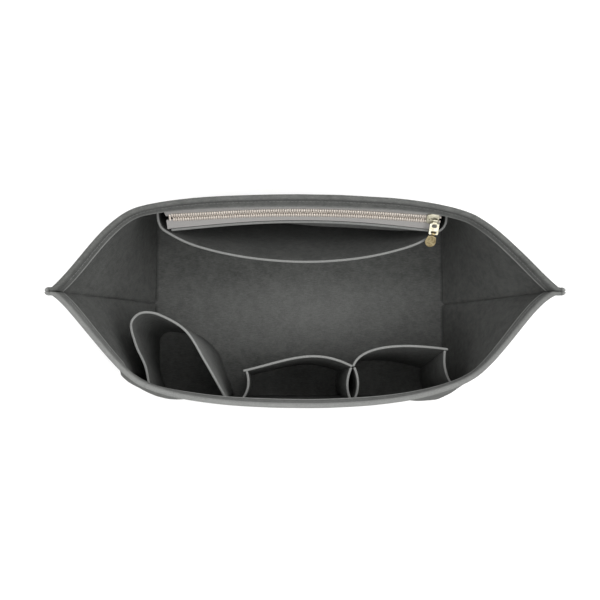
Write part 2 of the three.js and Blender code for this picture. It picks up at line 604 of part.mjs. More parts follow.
function pullTab() {
  const start = TAB_EYE.inner + TAB_EYE.wall / 2;
  const neck = TAB_NECK.width / 2;
  const endRadius = TAB_WIDTH / 2;
  const outline = new THREE.Shape();
  outline.moveTo(TAB_EYE.length / 2, -start);
  outline.lineTo(-TAB_EYE.length / 2, -start);
  outline.lineTo(-TAB_EYE.length / 2, -TAB_NECK.at);
  outline.lineTo(-neck, -TAB_NECK.at);
  outline.absarc(0, -TAB_LENGTH + endRadius, endRadius, Math.PI, Math.PI * 2, false);
  outline.lineTo(neck, -TAB_NECK.at);
  outline.lineTo(TAB_EYE.length / 2, -TAB_NECK.at);
  return fromSolid(flatPlate(outline, TAB_THICKNESS).add(rolledEye(TAB_EYE)));
}
const tab = addMesh("pull_tab", pullTab(), paleGold, pull);
tab.position.set(0, -LINK_HINGE, 0);
tab.rotation.set(THREE.MathUtils.degToRad(TAB_DROOP), 0, -tabLean);

// Bottle holder: plan curves of its lip and foot, from the base's front left corner, ending at the front wall
function bottleCurve(up, left, depth, plan) {
  const leftEnd = frontWall.standing(-BOTTLE_LEFT_SEAM, up, butted);
  const rightEnd = frontWall.standing(-BOTTLE_RIGHT_SEAM, up, butted);
  const between = plan.map(([x, short]) => {
    return new THREE.Vector3(-BASE_LENGTH / 2 + left + x, -BASE_DEPTH / 2 + depth - short, leftEnd.z);
  });
  return new THREE.CatmullRomCurve3([leftEnd, ...between, rightEnd], false, "centripetal");
}
const bottleLip = bottleCurve(BOTTLE_HEIGHT, -BOTTLE_OVERHANG, BOTTLE_DEPTH, BOTTLE_LIP_PLAN);
const bottleFoot = bottleCurve(floor, BOTTLE_FOOT_INSET, BOTTLE_FOOT_DEPTH, BOTTLE_FOOT_PLAN);

function bottleHolder(s, t) {
  return bottleFoot.getPointAt(s).lerp(bottleLip.getPointAt(s), t);
}
addMesh("bottle_holder", sheet(bottleHolder, steps(0, 1, 36), steps(0, 1, 5)), felt);

// A strip that stands on the base along a plan curve of points along and off the front wall
function pocketStrip(curve, columns) {
  const surface = (s, t) => {
    const lip = curve.getPoint(s);
    const off = Math.max(butted, lip.y * mix(POCKET_TAPER, 1, t));
    return frontWall.standing(lip.x, mix(floor, POCKET_HEIGHT, t), off);
  };
  return sheet(surface, steps(0, 1, columns), steps(0, 1, 3));
}

function bowed(fromAlong, fromOff, bendAlong, bendOff, toAlong, toOff) {
  return new THREE.QuadraticBezierCurve(
    new THREE.Vector2(fromAlong, fromOff),
    new THREE.Vector2(bendAlong, bendOff),
    new THREE.Vector2(toAlong, toOff),
  );
}

const pockets = [["left", LEFT_POCKET, -1], ["right", RIGHT_POCKET, 1]];
for (const [name, pocket, outward] of pockets) {
  const seamAlong = POCKET_SEAM_PLACE + outward * POCKET_SEAM_SPLIT;
  const earAlong = pocket.corner + outward * POCKET_EAR;
  const face = bowed(seamAlong, POCKET_SEAM_OFF, pocket.bellyAt, pocket.belly, earAlong, pocket.off);
  addMesh(`${name}_pocket_face`, pocketStrip(face, 14), felt);

  const outerBend = (pocket.foot + pocket.corner) / 2 - outward * GUSSET_BEND.outer;
  const outerOff = pocket.off - SEAM_GAP;
  const outer = bowed(pocket.foot, butted, outerBend, pocket.off / 2, pocket.corner, outerOff);
  addMesh(`${name}_pocket_outer_gusset`, pocketStrip(outer, 5), felt);

  const innerEnd = POCKET_SEAM_PLACE + outward * butted / 2;
  const innerBend = (pocket.seamFoot + innerEnd) / 2 + outward * GUSSET_BEND.inner;
  const innerOff = POCKET_SEAM_OFF - FELT / 2 - SEAM_GAP * 2;
  const inner = bowed(pocket.seamFoot, butted, innerBend, POCKET_SEAM_OFF / 2, innerEnd, innerOff);
  addMesh(`${name}_pocket_inner_gusset`, pocketStrip(inner, 5), felt);
}

export default part;
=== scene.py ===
# Felt organizer insert for a handbag: an open tray of grey felt with a zip pocket and a slip pocket
# on its back wall, and a bottle holder and two gusseted pockets on its front wall.
import json
import math

import bmesh
import bpy
import numpy as np
from mathutils import Matrix, Vector, geometry, noise


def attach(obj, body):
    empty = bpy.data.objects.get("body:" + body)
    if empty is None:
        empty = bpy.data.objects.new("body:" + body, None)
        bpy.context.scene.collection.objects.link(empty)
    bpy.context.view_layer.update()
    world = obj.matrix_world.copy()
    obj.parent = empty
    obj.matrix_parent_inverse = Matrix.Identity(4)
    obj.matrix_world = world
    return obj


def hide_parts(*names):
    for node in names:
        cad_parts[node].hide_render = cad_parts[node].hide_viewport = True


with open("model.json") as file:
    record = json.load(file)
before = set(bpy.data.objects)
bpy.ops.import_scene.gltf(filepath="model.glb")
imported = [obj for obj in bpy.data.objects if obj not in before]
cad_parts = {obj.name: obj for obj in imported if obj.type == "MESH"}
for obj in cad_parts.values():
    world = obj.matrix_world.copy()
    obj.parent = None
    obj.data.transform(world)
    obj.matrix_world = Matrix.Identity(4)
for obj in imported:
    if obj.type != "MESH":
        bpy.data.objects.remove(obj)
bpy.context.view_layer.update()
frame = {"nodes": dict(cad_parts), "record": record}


# The photo table: a pale matt floor that glows a little, as a light table does, a camera almost straight
# above the open tray, a white dome of soft light and six soft lamps round it, more of them at the right.
MM = 0.001
CAMERA_PLACE = Vector((-42.1, -63.6, 872.7)) * MM
CAMERA_AIM = Vector((-0.42, 4.23, 0.0)) * MM
CAMERA_LENS = 50.0
CAMERA_SENSOR = 36.0
FLOOR_SIDE = 6000.0
FLOOR_COLOUR = (0.86, 0.86, 0.855, 1.0)
FLOOR_SPECK = (0.8471, 0.8471, 0.842175, 1.0)
FLOOR_GLOW = 0.18
DOME_COLOUR = (1.0, 1.0, 1.0, 1.0)
DOME_STRENGTH = 0.82
LAMP_SIDE = 0.6
# place of each lamp, in metres, and its power
LAMPS = (
    ((0.0, -0.4, 1.55), 4.2), ((0.0, 0.4, 1.55), 3.6), ((-0.75, -0.45, 1.3), 4.0),
    ((0.75, -0.45, 1.3), 4.0), ((0.8, 0.0, 1.4), 4.6), ((1.1, 0.75, 0.95), 2.4),
)

scene = bpy.context.scene
scene.view_settings.view_transform = "Standard"
scene.view_settings.look = "None"


def feed(tree, socket, value):
    """Sets an input to a value, or links it to the output that feeds it."""
    if isinstance(value, bpy.types.NodeSocket):
        tree.links.new(value, socket)
    else:
        socket.default_value = value


def add_node(tree, kind, **settings):
    """Adds a shader node and feeds its inputs, or sets its own properties, by name."""
    node = tree.nodes.new(kind)
    for name, value in settings.items():
        socket = node.inputs.get(name.replace("_", " "))
        if socket is None:
            setattr(node, name, value)
        else:
            feed(tree, socket, value)
    return node


def texture(tree, kind, **settings):
    """Adds a texture and returns its grey value."""
    return add_node(tree, "ShaderNodeTex" + kind, **settings).outputs["Fac"]


def mix_colours(tree, low, high, share):
    """Mixes two colours by a share, and returns the mixed colour."""
    mix = add_node(tree, "ShaderNodeMix", data_type="RGBA")
    for name, value in (("A", low), ("B", high), ("Factor", share)):
        feed(tree, mix.inputs[name], value)
    return mix.outputs["Result"]


def new_finish(name, **settings):
    """Makes a material and returns it with its tree and its surface shader."""
    finish = bpy.data.materials.new(name)
    finish.use_nodes = True
    tree = finish.node_tree
    shader = tree.nodes["Principled BSDF"]
    for socket, value in settings.items():
        shader.inputs[socket.replace("_", " ")].default_value = value
    return finish, tree, shader


def new_mesh(name, points, faces):
    """Makes a smooth mesh of points in millimetres."""
    mesh = bpy.data.meshes.new(name)
    mesh.from_pydata((np.reshape(points, (-1, 3)) * MM).tolist(), [], faces)
    mesh.shade_smooth()
    return mesh


def add_object(name, data, *finishes):
    """Adds a mesh with its material, a lamp or a camera to the scene."""
    thing = bpy.data.objects.new(name, data)
    scene.collection.objects.link(thing)
    for finish in finishes:
        data.materials.append(finish)
    return thing


paper, tree, shader = new_finish(
    "floor_paper", Roughness=0.9, Emission_Color=DOME_COLOUR, Emission_Strength=FLOOR_GLOW)
speckle = texture(tree, "Noise", Scale=60.0, Detail=3.0)
feed(tree, shader.inputs["Base Color"], mix_colours(tree, FLOOR_COLOUR, FLOOR_SPECK, speckle))
half = FLOOR_SIDE / 2
floor_corners = [(-half, -half, 0), (half, -half, 0), (half, half, 0), (-half, half, 0)]
add_object("floor", new_mesh("floor", floor_corners, [(0, 1, 2, 3)]), paper)

sky = bpy.data.worlds.new("studio")
sky.use_nodes = True
sky.node_tree.nodes["Background"].inputs["Color"].default_value = DOME_COLOUR
sky.node_tree.nodes["Background"].inputs["Strength"].default_value = DOME_STRENGTH
scene.world = sky

for place, power in LAMPS:
    lamp_data = bpy.data.lights.new("soft_lamp", "AREA")
    lamp_data.size = LAMP_SIDE
    lamp_data.energy = power
    lamp = add_object("soft_lamp", lamp_data)
    lamp.location = place
    lamp.rotation_euler = (-Vector(place)).to_track_quat("-Z", "Y").to_euler()

camera_data = bpy.data.cameras.new("camera")
camera_data.lens = CAMERA_LENS
camera_data.sensor_width = CAMERA_SENSOR
camera = add_object("camera", camera_data)
forward = (CAMERA_AIM - CAMERA_PLACE).normalized()
rightward = forward.cross(Vector((0, 1, 0))).normalized()
upward = rightward.cross(forward)
camera_turn = Matrix((rightward, upward, -forward)).transposed()
camera.matrix_world = Matrix.Translation(CAMERA_PLACE) @ camera_turn.to_4x4()
scene.camera = camera


# The base: one rounded rectangle of pressed grey felt, 2.2 mm thick, that lies flat under everything.
# Every felt piece is cut from the same felt: mottled grey faces with loose fibres, and paler, rounded
# cut edges. The base's own edge is tucked into the walls and painted dark there as shade in the crease; its
# top is painted paler as light, most in a pool a little in front of its middle, and painted darker as shade
# under the pockets and at the end seams.
FELT = 2.2
SEAM_GAP = 0.3
BASE_LENGTH = 300.0
BASE_DEPTH = 190.0
BASE_CORNER = 10.0
BASE_ROUNDING = 0.2
# the base's cut edge is painted dark, as shade in the crease under the walls
BASE_EDGE_SHADE = -0.7
TUCK = 0.9  # how far the base's edge is pressed into the walls
END_TONGUE = 5.0  # fills the corner where the two walls meet
TONGUE_FADE = 1.3
TONGUE_LINES = np.linspace(-2.2, 2.2, 8)
BASE_PAINTED_LIGHT = 0.08  # painted light: how much paler the base is painted all over
MIDDLE_LIGHT_POOL = 0.13  # and a painted pool of light, so much paler again round a place a little in front of its middle
MIDDLE_LIGHT_POOL_Y = -8.0
MIDDLE_LIGHT_POOL_REACH = (90.0, 42.0)
BACK_PAINTED_SHADE = (0.1, 12.0, 20.0)  # painted shade under the slip pocket: how much darker, from what depth on and how soon
FRONT_PAINTED_SHADE = (0.3, 48.0, 22.0)  # and painted shade under the front pockets
SEAM_PAINTED_SHADE = (-0.9, -0.6)  # painted shade in the creases at the end seams, on the last two lines of points
CUT_ROUNDING = 0.8  # how far a cut edge rounds off into the face
CUT_RINGS = 5  # points round a cut edge
CUT_SQUARENESS = 0.7  # 1 is a round edge, 0 a square one
CUT_BLEED = 0.4  # how much of a cut edge's paleness reaches the face
GRID = 2.6  # spacing of a sheet's points
EDGE_LINE = 1.3  # the last line of points before a cut edge
STITCH_LINES = (-1.8, -1.0, -0.5, 0.0, 0.5, 1.0, 1.8)  # lines of points along a row of stitches
STITCH_CLEAR = 2.4  # so near to the row there are no others
FELT_DARK = (0.072, 0.0735, 0.0705, 1.0)
FELT_LIGHT = (0.138, 0.141, 0.135, 1.0)
FELT_CUT = (0.32, 0.324, 0.315, 1.0)
FELT_PAINTED_SHADE = (0.03, 0.0305, 0.03, 1.0)
FELT_SHEEN = (0.75, 0.76, 0.75, 1.0)
FIBRE_SCALE = (240.0, 2600.0, 2600.0)
FIBRE_LAYS = ((0.3, 0.2, 0.5), (1.2, -0.7, 2.3), (-0.5, 1.1, -1.2))  # how each lay of fibres is turned


def maths(tree, operation, *terms):
    """Works with numbers and outputs, and returns the result."""
    node = add_node(tree, "ShaderNodeMath", operation=operation)
    for socket, term in zip(node.inputs, terms):
        feed(tree, socket, term)
    return node.outputs["Value"]


def ranged(tree, value, low, high, to_low=0.0, to_high=1.0):
    """Maps an output from one range to another."""
    node = add_node(tree, "ShaderNodeMapRange", Value=value, From_Min=low, From_Max=high,
                    To_Min=to_low, To_Max=to_high)
    return node.outputs["Result"]


def streaks(tree, place, angles, scale, **settings):
    """Noise drawn out into fibres or scratches that lie one way."""
    lay = add_node(tree, "ShaderNodeMapping", Vector=place, Rotation=angles, Scale=scale)
    return texture(tree, "Noise", Vector=lay.outputs["Vector"], Scale=1.0, Detail=2.0, **settings)


def give_surface(tree, shader, colour, relief, strength, distance):
    """Gives a shader its colour and its fine relief."""
    bump = add_node(tree, "ShaderNodeBump", Height=relief, Strength=strength, Distance=distance)
    feed(tree, shader.inputs["Base Color"], colour)
    feed(tree, shader.inputs["Normal"], bump.outputs["Normal"])


def felt_finish():
    """Grey felt: blotches, fine grain and three lays of pale fibres, paler where cut, painted shade where the
    cut value is below zero.
    """
    finish, tree, shader = new_finish(
        "grey_felt", Roughness=0.95, Sheen_Weight=0.04, Sheen_Roughness=0.55, Sheen_Tint=FELT_SHEEN,
        Specular_IOR_Level=0.06)
    place = add_node(tree, "ShaderNodeTexCoord").outputs["Object"]
    blotches, mottle, grain = (
        texture(tree, "Noise", Vector=place, Scale=scale, Detail=detail, Roughness=rough)
        for scale, detail, rough in ((34.0, 3.0, 0.5), (170.0, 3.0, 0.6), (1150.0, 4.0, 0.7)))
    fibres = 0.0
    for angles in FIBRE_LAYS:
        lay = streaks(tree, place, angles, FIBRE_SCALE, Roughness=0.55, Distortion=0.6)
        fibres = maths(tree, "MAXIMUM", fibres, lay)
    nap = maths(tree, "MULTIPLY_ADD", grain, 0.55, ranged(tree, fibres, 0.5, 0.8))
    tone = maths(tree, "MULTIPLY_ADD", blotches, 0.7, nap)
    tone = maths(tree, "MULTIPLY_ADD", mottle, 1.1, tone)
    colour = mix_colours(tree, FELT_DARK, FELT_LIGHT, ranged(tree, tone, 0.95, 1.95))
    cut = add_node(tree, "ShaderNodeAttribute", attribute_name="cut").outputs["Fac"]
    ragged = maths(tree, "MULTIPLY", cut, ranged(tree, grain, 0.3, 0.6, 0.55, 1.0))
    colour = mix_colours(tree, colour, FELT_CUT, ragged)
    # below zero the cut value paints shade: a dark colour standing in for occlusion
    colour = mix_colours(tree, colour, FELT_PAINTED_SHADE, maths(tree, "MULTIPLY", cut, -1.0))
    give_surface(tree, shader, colour, nap, 0.55, 0.00035)
    return finish


felt = felt_finish()


def lines(length, spacing=GRID, stitched=()):
    """Places of a sheet's points along one side: close together at cut ends and along rows of stitches."""
    count = max(2, round((length - 2 * EDGE_LINE) / spacing))
    places = list(np.linspace(EDGE_LINE, length - EDGE_LINE, count + 1))
    for row in stitched:
        places = [place for place in places if abs(place - row) > STITCH_CLEAR]
        places += [row + step for step in STITCH_LINES]
    return np.array([0.0, *sorted(places), length])


def unit(vectors):
    return vectors / np.linalg.norm(vectors, axis=-1, keepdims=True)


def sheet_mesh(name, middle, thickness, rounding, pinch=0.0, pale=1.0, worn=0.0):
    """Closes a grid of middle points into a sheet with rounded cut edges.

    pinch thins it along stitches, pale says how pale its cut edges are, and below zero paints shade on them;
    the last argument says how much paler or darker its faces are painted, mostly painted light and shade, and
    along a hem's lower edge its pale cut edge.
    """
    rows, columns = middle.shape[:2]
    normal = unit(np.cross(np.gradient(middle, axis=1), np.gradient(middle, axis=0)))
    depth = np.broadcast_to(thickness / 2 - pinch, (rows, columns))[..., None]
    pale, worn = (np.broadcast_to(values, (rows, columns)).ravel() for values in (pale, worn))
    j, i = np.arange(rows), np.arange(columns)
    loop_j = np.concatenate([0 * i, j[1:], 0 * i[1:] + rows - 1, j[-2:0:-1]])
    loop_i = np.concatenate([i, 0 * j[1:] + columns - 1, i[-2::-1], 0 * j[-2:0:-1]])
    edge, edge_normal, edge_depth = (values[loop_j, loop_i] for values in (middle, normal, depth))
    outward = unit(np.cross(np.roll(edge, -1, 0) - np.roll(edge, 1, 0), edge_normal))
    front, back = middle + normal * depth, middle - normal * depth
    front[loop_j, loop_i] -= outward * rounding
    back[loop_j, loop_i] -= outward * rounding
    rings = []
    for angle in np.linspace(math.pi / 2, -math.pi / 2, CUT_RINGS + 2)[1:-1]:
        reach = math.cos(angle) ** CUT_SQUARENESS - 1
        height = math.copysign(abs(math.sin(angle)) ** CUT_SQUARENESS, angle)
        rings.append(edge + outward * rounding * reach + edge_normal * edge_depth * height)
    points = np.concatenate([front.reshape(-1, 3), back.reshape(-1, 3), *rings])
    face = rows * columns
    corner = (j[:-1, None] * columns + i[None, :-1]).ravel()
    quads = np.stack([corner, corner + 1, corner + columns + 1, corner + columns], axis=1)
    rim = loop_j * columns + loop_i
    around = np.arange(len(edge))
    levels = [rim, *(2 * face + ring * len(edge) + around for ring in range(CUT_RINGS)), face + rim]
    sides = [
        np.stack([high, low, np.roll(low, -1), np.roll(high, -1)], axis=1)
        for high, low in zip(levels, levels[1:])
    ]
    mesh = new_mesh(name, points, np.concatenate([quads, face + quads[:, ::-1], *sides]).tolist())
    # the faces carry painted light and shade, the cut edges their paleness or painted shade
    cut = np.concatenate([worn, worn, *[pale[rim]] * CUT_RINGS])
    cut[levels[0]] = cut[levels[-1]] = CUT_BLEED * pale[rim] + (1 - CUT_BLEED) * worn[rim]
    mesh.attributes.new("cut", "FLOAT", "POINT").data.foreach_set("value", cut)
    return mesh


def felt_piece(name, grid, rounding=CUT_ROUNDING, **faces):
    """Cuts a piece of felt that lies along a grid of middle points."""
    return add_object(name, sheet_mesh(name, grid, FELT, rounding, **faces), felt)


corner_y = BASE_DEPTH / 2 - BASE_CORNER
arc = BASE_CORNER * np.sin(np.linspace(0, math.pi / 2, 9)[1:])
straight = np.linspace(-corner_y, corner_y, round(2 * corner_y / GRID) + 1)
straight = np.sort(np.concatenate([straight, TONGUE_LINES]))
base_y = np.concatenate([-(corner_y + arc)[::-1], straight, corner_y + arc])
past = np.maximum(np.abs(base_y) - corner_y, 0)
base_half = BASE_LENGTH / 2 - BASE_CORNER + np.sqrt(BASE_CORNER ** 2 - np.minimum(past, BASE_CORNER) ** 2)
base_half += END_TONGUE * np.exp(-np.abs(base_y) / TONGUE_FADE)
tucked = 1 + 2 * TUCK / BASE_DEPTH
base_x = lines(BASE_LENGTH) / (BASE_LENGTH / 2) - 1
base_grid = np.stack(np.broadcast_arrays(
    tucked * base_half[:, None] * base_x[None, :], tucked * base_y[:, None], FELT / 2), axis=-1)
x, y = base_grid[..., 0], base_grid[..., 1]
off_middle = (x / MIDDLE_LIGHT_POOL_REACH[0]) ** 2 + ((y - MIDDLE_LIGHT_POOL_Y) / MIDDLE_LIGHT_POOL_REACH[1]) ** 2
# painted light on the base's top, with painted shade under the pockets and at the end seams
painted_light_and_shade = BASE_PAINTED_LIGHT + MIDDLE_LIGHT_POOL * np.exp(-off_middle)
for depth, (painted_shade, start, fade) in ((y, BACK_PAINTED_SHADE), (-y, FRONT_PAINTED_SHADE)):
    painted_light_and_shade -= painted_shade * np.clip((depth - start) / fade, 0, 1)
painted_light_and_shade[:, [0, -1]], painted_light_and_shade[:, [1, -2]] = SEAM_PAINTED_SHADE
base = felt_piece("base_felt", base_grid, BASE_ROUNDING, pale=BASE_EDGE_SHADE, worn=painted_light_and_shade)
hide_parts("base_panel")
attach(base, "organizer")


# The back and front walls: two long felt panels sewn to the base's edge and to each other at the sides,
# where both turn out into a narrow standing flange. They lean and flare as the felt was found standing,
# and the top of each is folded over to the inside as a hem, whose lower edge springs off the wall.
WALL_HEIGHT = 168.0
FLANGE = 8.0
RIM_FLANGE = 4.0
WALL_BOW = 1.25  # a wall bows inwards along its middle
WING_BOW = 1.0  # and slopes straight out to the tips
BOW_ENDS = (100, 152)  # the bow fades between these places along it
SEAM_TURN = 1.6
TIP_REACH = 71.3
TIP_HANDLE = 25.0
TIP_SHIFT = 0.9  # the left tip leans forward and the right one back by this much
SHOULDER_INSET = 4.0
SHOULDER_HANDLE = 29.0
CROWN_HANDLE = 10.5
CROWN_FLAT = 100.0
BASE_PROUD = 0.6
HEM = 12.0
HEM_SEWN = 5.6  # from the rim down to the hem's stitches
HEM_CURL = 1.8  # a higher power keeps the hem's spring closer to its lower edge
HEM_LINES = np.array([2.2, 1.7])  # two more lines of points, so far above the hem's lower edge
HEM_EDGE = ((1.3, 1.7, 2.2, 2.9), (1.0, 0.9, -0.15, 0.0))  # heights above that edge, and the paleness there: the pale cut edge, then a painted shadow line just above it
WALL_LINES = 3.4  # spacing of the points up a wall
HEM_DOWN_LINES = 1.6  # and down its hem
FOLD_STEPS = 9
FOLD_FADE = 3.0  # the fold's painted light fades down the outside over this height
FOLD_LIGHT_INSIDE = 0.7  # what is left of the painted light on the fold's inner side
FOLD_LIGHT_EDGE = 0.2  # and at the hem's lower edge
FLANGE_ROUND = 3.6  # over this length a flange's end rounds off
FLANGE_THIN = 0.8  # by this share of its thickness
FLANGE_LINES = np.array([1.2, 0.9, 0.65, 0.42, 0.22, 0.08, 0.0])
FLANGE_PALE = 0.8
FLANGE_PALE_FROM = 1.2  # the paleness starts so many rounded ends before a flange's end
CORNER_RUN = 22.0  # the wall turns round the base's corner over this length
SEAM_RUN = (11.0, 4.0)  # and into its flange from so far before the side seam to so far past it
STITCH_PRESS = 0.3  # how deep the stitches draw the felt in
STITCH_REACH = 0.9
DRIFT = 0.4  # how far the felt wanders from its drawn shape
DRIFT_REACH = 38.0  # over this distance
DRIFT_SEED = 4
FOOT_PAINTED_SHADE = -0.5  # the cut edge hidden at the foot is painted dark, as shade in the crease
SEAM_PRESS = 0.85  # how far the stitches press each flange into the other
SEAM_PRESS_FROM = 1.5  # the press starts so many flanges before the end
SQUEEZE = 0.8  # thickness of the folded hem where it is sewn into a side seam
WALL_X = BASE_LENGTH / 2 + SEAM_GAP + FELT / 2
WALL_Y = BASE_DEPTH / 2 + SEAM_GAP + FELT / 2
SEAM_Y = (FELT + SEAM_GAP) / 2
SEWN = FELT + SEAM_GAP  # spacing of two felt pieces sewn face to face
FOLD_START = WALL_HEIGHT - FELT / 2
HEM_DOWN = HEM - FELT / 2  # what hangs of the hem below the fold
HEM_STITCH = WALL_HEIGHT - HEM_SEWN  # height of the hem's stitches


def bezier(*corners, count=90):
    share = np.linspace(0, 1, count)[:, None]
    points = [np.array(corner, float) + 0 * share for corner in corners]
    while len(points) > 1:
        points = [a + (b - a) * share for a, b in zip(points, points[1:])]
    return points[0]


def by_length(points, values=None):
    """Gives points of a line, or values along it, by their share of its length, and that length."""
    reached = np.concatenate([[0], np.cumsum(np.linalg.norm(np.diff(points, axis=0), axis=1))])
    share = reached / reached[-1]
    columns = (points if values is None else values).T

    def at(part):
        return np.stack([np.interp(part, share, column) for column in columns], axis=-1)

    return at, reached[-1]


def eased(value, knots, levels):
    """Runs smoothly from level to level at these knots."""
    knots, levels = np.array(knots, float), np.array(levels, float)
    k = np.clip(np.searchsorted(knots, value) - 1, 0, len(knots) - 2)
    share = np.clip((value - knots[k]) / (knots[k + 1] - knots[k]), 0, 1)
    return levels[k] + (levels[k + 1] - levels[k]) * share ** 2 * (3 - 2 * share)


noise.seed_set(DRIFT_SEED)  # without it the drift is another one at each run


def wander(points):
    """Moves points a little, alike for all felt at one place, so that sewn pieces wander together.

    The felt keeps its place where it meets the base.
    """
    moved = points.reshape(-1, 3).copy()
    for place in moved:
        shift = noise.noise_vector(Vector(place / DRIFT_REACH))
        place += DRIFT * min(1.0, place[2] / DRIFT_REACH) * np.array(shift)
    return moved.reshape(points.shape)


def paleness(grid, ends, lip):
    """How pale a piece's cut edges are: along its foot, painted dark as shade in the crease, up its two ends
    and along its lip.
    """
    pale = np.zeros(grid.shape[:2])
    pale[0] = FOOT_PAINTED_SHADE
    pale[:, [0, -1]] = ends
    pale[-1] = lip
    return pale


def pinched(places, row):
    """How far a row of stitches draws the felt in, at these places."""
    return STITCH_PRESS * np.exp(-((places - row) / STITCH_REACH) ** 2)


class Wall:
    """One wall's middle surface, from the left flange to the right one and from the base to the rim."""

    def __init__(self, side, lean, left, right, spring, painted_light_and_shade, swells=(), edge_shows=((0, 1), (1, 1))):
        self.side = side
        self.spring = spring  # how far the hem's lower edge stands off the wall, at its middle
        self.painted_light_and_shade = painted_light_and_shade  # painted light and shade on the fold: how much paler or darker it is at the left end, the middle and the right end
        self.swells = swells  # where it swells out: places along it, how far there, heights and shares
        self.edge_shows = edge_shows  # places between which the hem's cut edge pales, and how pale
        radius = WALL_X - BASE_LENGTH / 2 + BASE_CORNER
        swing = np.linspace(math.pi, math.pi / 2, 40)
        corner = np.stack([np.cos(swing), np.sin(swing)], axis=1) * radius
        corner += (-BASE_LENGTH / 2 + BASE_CORNER, corner_y)
        turn_out = bezier((-WALL_X - SEAM_TURN, SEAM_Y), (-WALL_X, SEAM_Y), (-WALL_X, SEAM_Y + SEAM_TURN))
        half = np.concatenate([[(-WALL_X - FLANGE, SEAM_Y)], turn_out, corner])
        self.foot, self.length = by_length(np.concatenate([half, half[::-1] * (-1, 1)]))
        tip = WALL_X + TIP_REACH
        shoulder = BASE_LENGTH / 2 - SHOULDER_INSET
        crown = WALL_Y - lean
        rise = CROWN_HANDLE / SHOULDER_HANDLE
        halves = []
        for way, (drop, fall, swing) in ((-1, left), (1, right)):
            low = crown - drop
            seam = SEAM_Y + way * side * TIP_SHIFT
            out = bezier((tip, seam), (tip - TIP_HANDLE, seam + swing),
                         (shoulder + SHOULDER_HANDLE, low - fall), (shoulder, low))
            over = bezier((shoulder, low), (shoulder - CROWN_HANDLE, low + fall * rise),
                          (CROWN_FLAT, crown), (0, crown))
            halves.append(np.concatenate([[(tip + RIM_FLANGE, seam)], out, over[1:]]))
        rim = np.concatenate([halves[0] * (-1, 1), halves[1][-2::-1]])
        self.rim, self.rim_length = by_length(rim)

    def middle(self, u, v):
        u, v = np.broadcast_arrays(u, v)
        low, high = self.foot(u), self.rim(u)
        rise = np.sqrt(WALL_HEIGHT ** 2 - ((high - low) ** 2).sum(axis=-1))
        bow = eased(np.abs(u - 0.5) * self.length, BOW_ENDS, (WALL_BOW, WING_BOW))
        plan = low + (high - low) * (np.maximum(v, 0) ** bow)[..., None]
        return np.stack([plan[..., 0], self.side * plan[..., 1], v * rise], axis=-1)

    def standing(self, along, up, off):
        """A point so far along the wall from its middle, so far up the felt and, on the level, off it."""
        point = self.middle(0.5 + np.asarray(along) / self.length, np.asarray(up) / WALL_HEIGHT)
        point[..., 1] -= self.side * off
        return point

    def inward(self, u, v):
        """The wall's normal at a point, towards the inside of the tray."""
        tiny = 1e-4
        run = self.middle(u + tiny, v) - self.middle(u - tiny, v)
        climb = self.middle(u, v) - self.middle(u, v - tiny)
        return unit(np.cross(run, climb) * self.side)

    def columns(self):
        """Places along the foot: close together round the corners and where it turns into the flange."""
        end = self.length / 2
        seam = end - FLANGE
        turn = seam - SEAM_RUN[0]
        bend = BASE_LENGTH / 2 - BASE_CORNER
        half = np.concatenate([
            np.arange(0, bend, GRID), np.linspace(bend, bend + CORNER_RUN, 16),
            np.linspace(bend + CORNER_RUN + 2, turn - 1, 22), np.linspace(turn, seam + SEAM_RUN[1], 16),
            end - FLANGE_ROUND * FLANGE_LINES,
        ])
        return np.concatenate([-half[:0:-1], half])

    def flare(self, places, down):
        """How far the hem springs off the wall, at places along it and so far below the fold."""
        return self.spring * np.cos(math.pi * places / self.length) * (down / HEM_DOWN) ** HEM_CURL


# left and right are the drop of each shoulder below the crown, its further fall, and the tip's swing
# the back fold is painted darker as shade, most of all at its right end; the front fold is painted paler as a
# highlight
back_wall = Wall(
    side=1, lean=15.2, left=(11.9, 8.7, 16.9), right=(17.6, 18.4, 15.7), spring=6.2,
    painted_light_and_shade=(-0.1, -0.3, -2.0), edge_shows=((158, 192), (0.15, 0.75)),
)
front_wall = Wall(
    side=-1, lean=-2.6, left=(21.2, 19.4, 13.6), right=(28.8, 23.6, 4.2), spring=2.8,
    painted_light_and_shade=(0.55, 0.66, 0.28), swells=(
        ((-163, -157, -151, -144, -128, -98), (0, 3.8, 3.4, 1.9, 2.8, 0), (8, 55, 146, 162), (0.2, 1, 1, 0)),
        ((84, 119, 131, 143, 157), (0, 4.9, 5.2, 2.9, 0), (0, 45, 150), (0.3, 1, 0)),
    ),
)
wall_climb = BASE_PROUD + lines(FOLD_START - BASE_PROUD, WALL_LINES, [HEM_STITCH - BASE_PROUD])
fold_turn = np.linspace(0, math.pi, FOLD_STEPS + 1)[1:-1]
hem_down = np.sort([*lines(HEM_DOWN, HEM_DOWN_LINES, [FOLD_START - HEM_STITCH]), *(HEM_DOWN - HEM_LINES)])


def wall_rows(climb, turn, down):
    """One value for each row of a wall's points: up the wall, round the fold and down the hem."""
    return np.concatenate([0 * wall_climb + climb, 0 * fold_turn + turn, 0 * hem_down + down])[:, None]


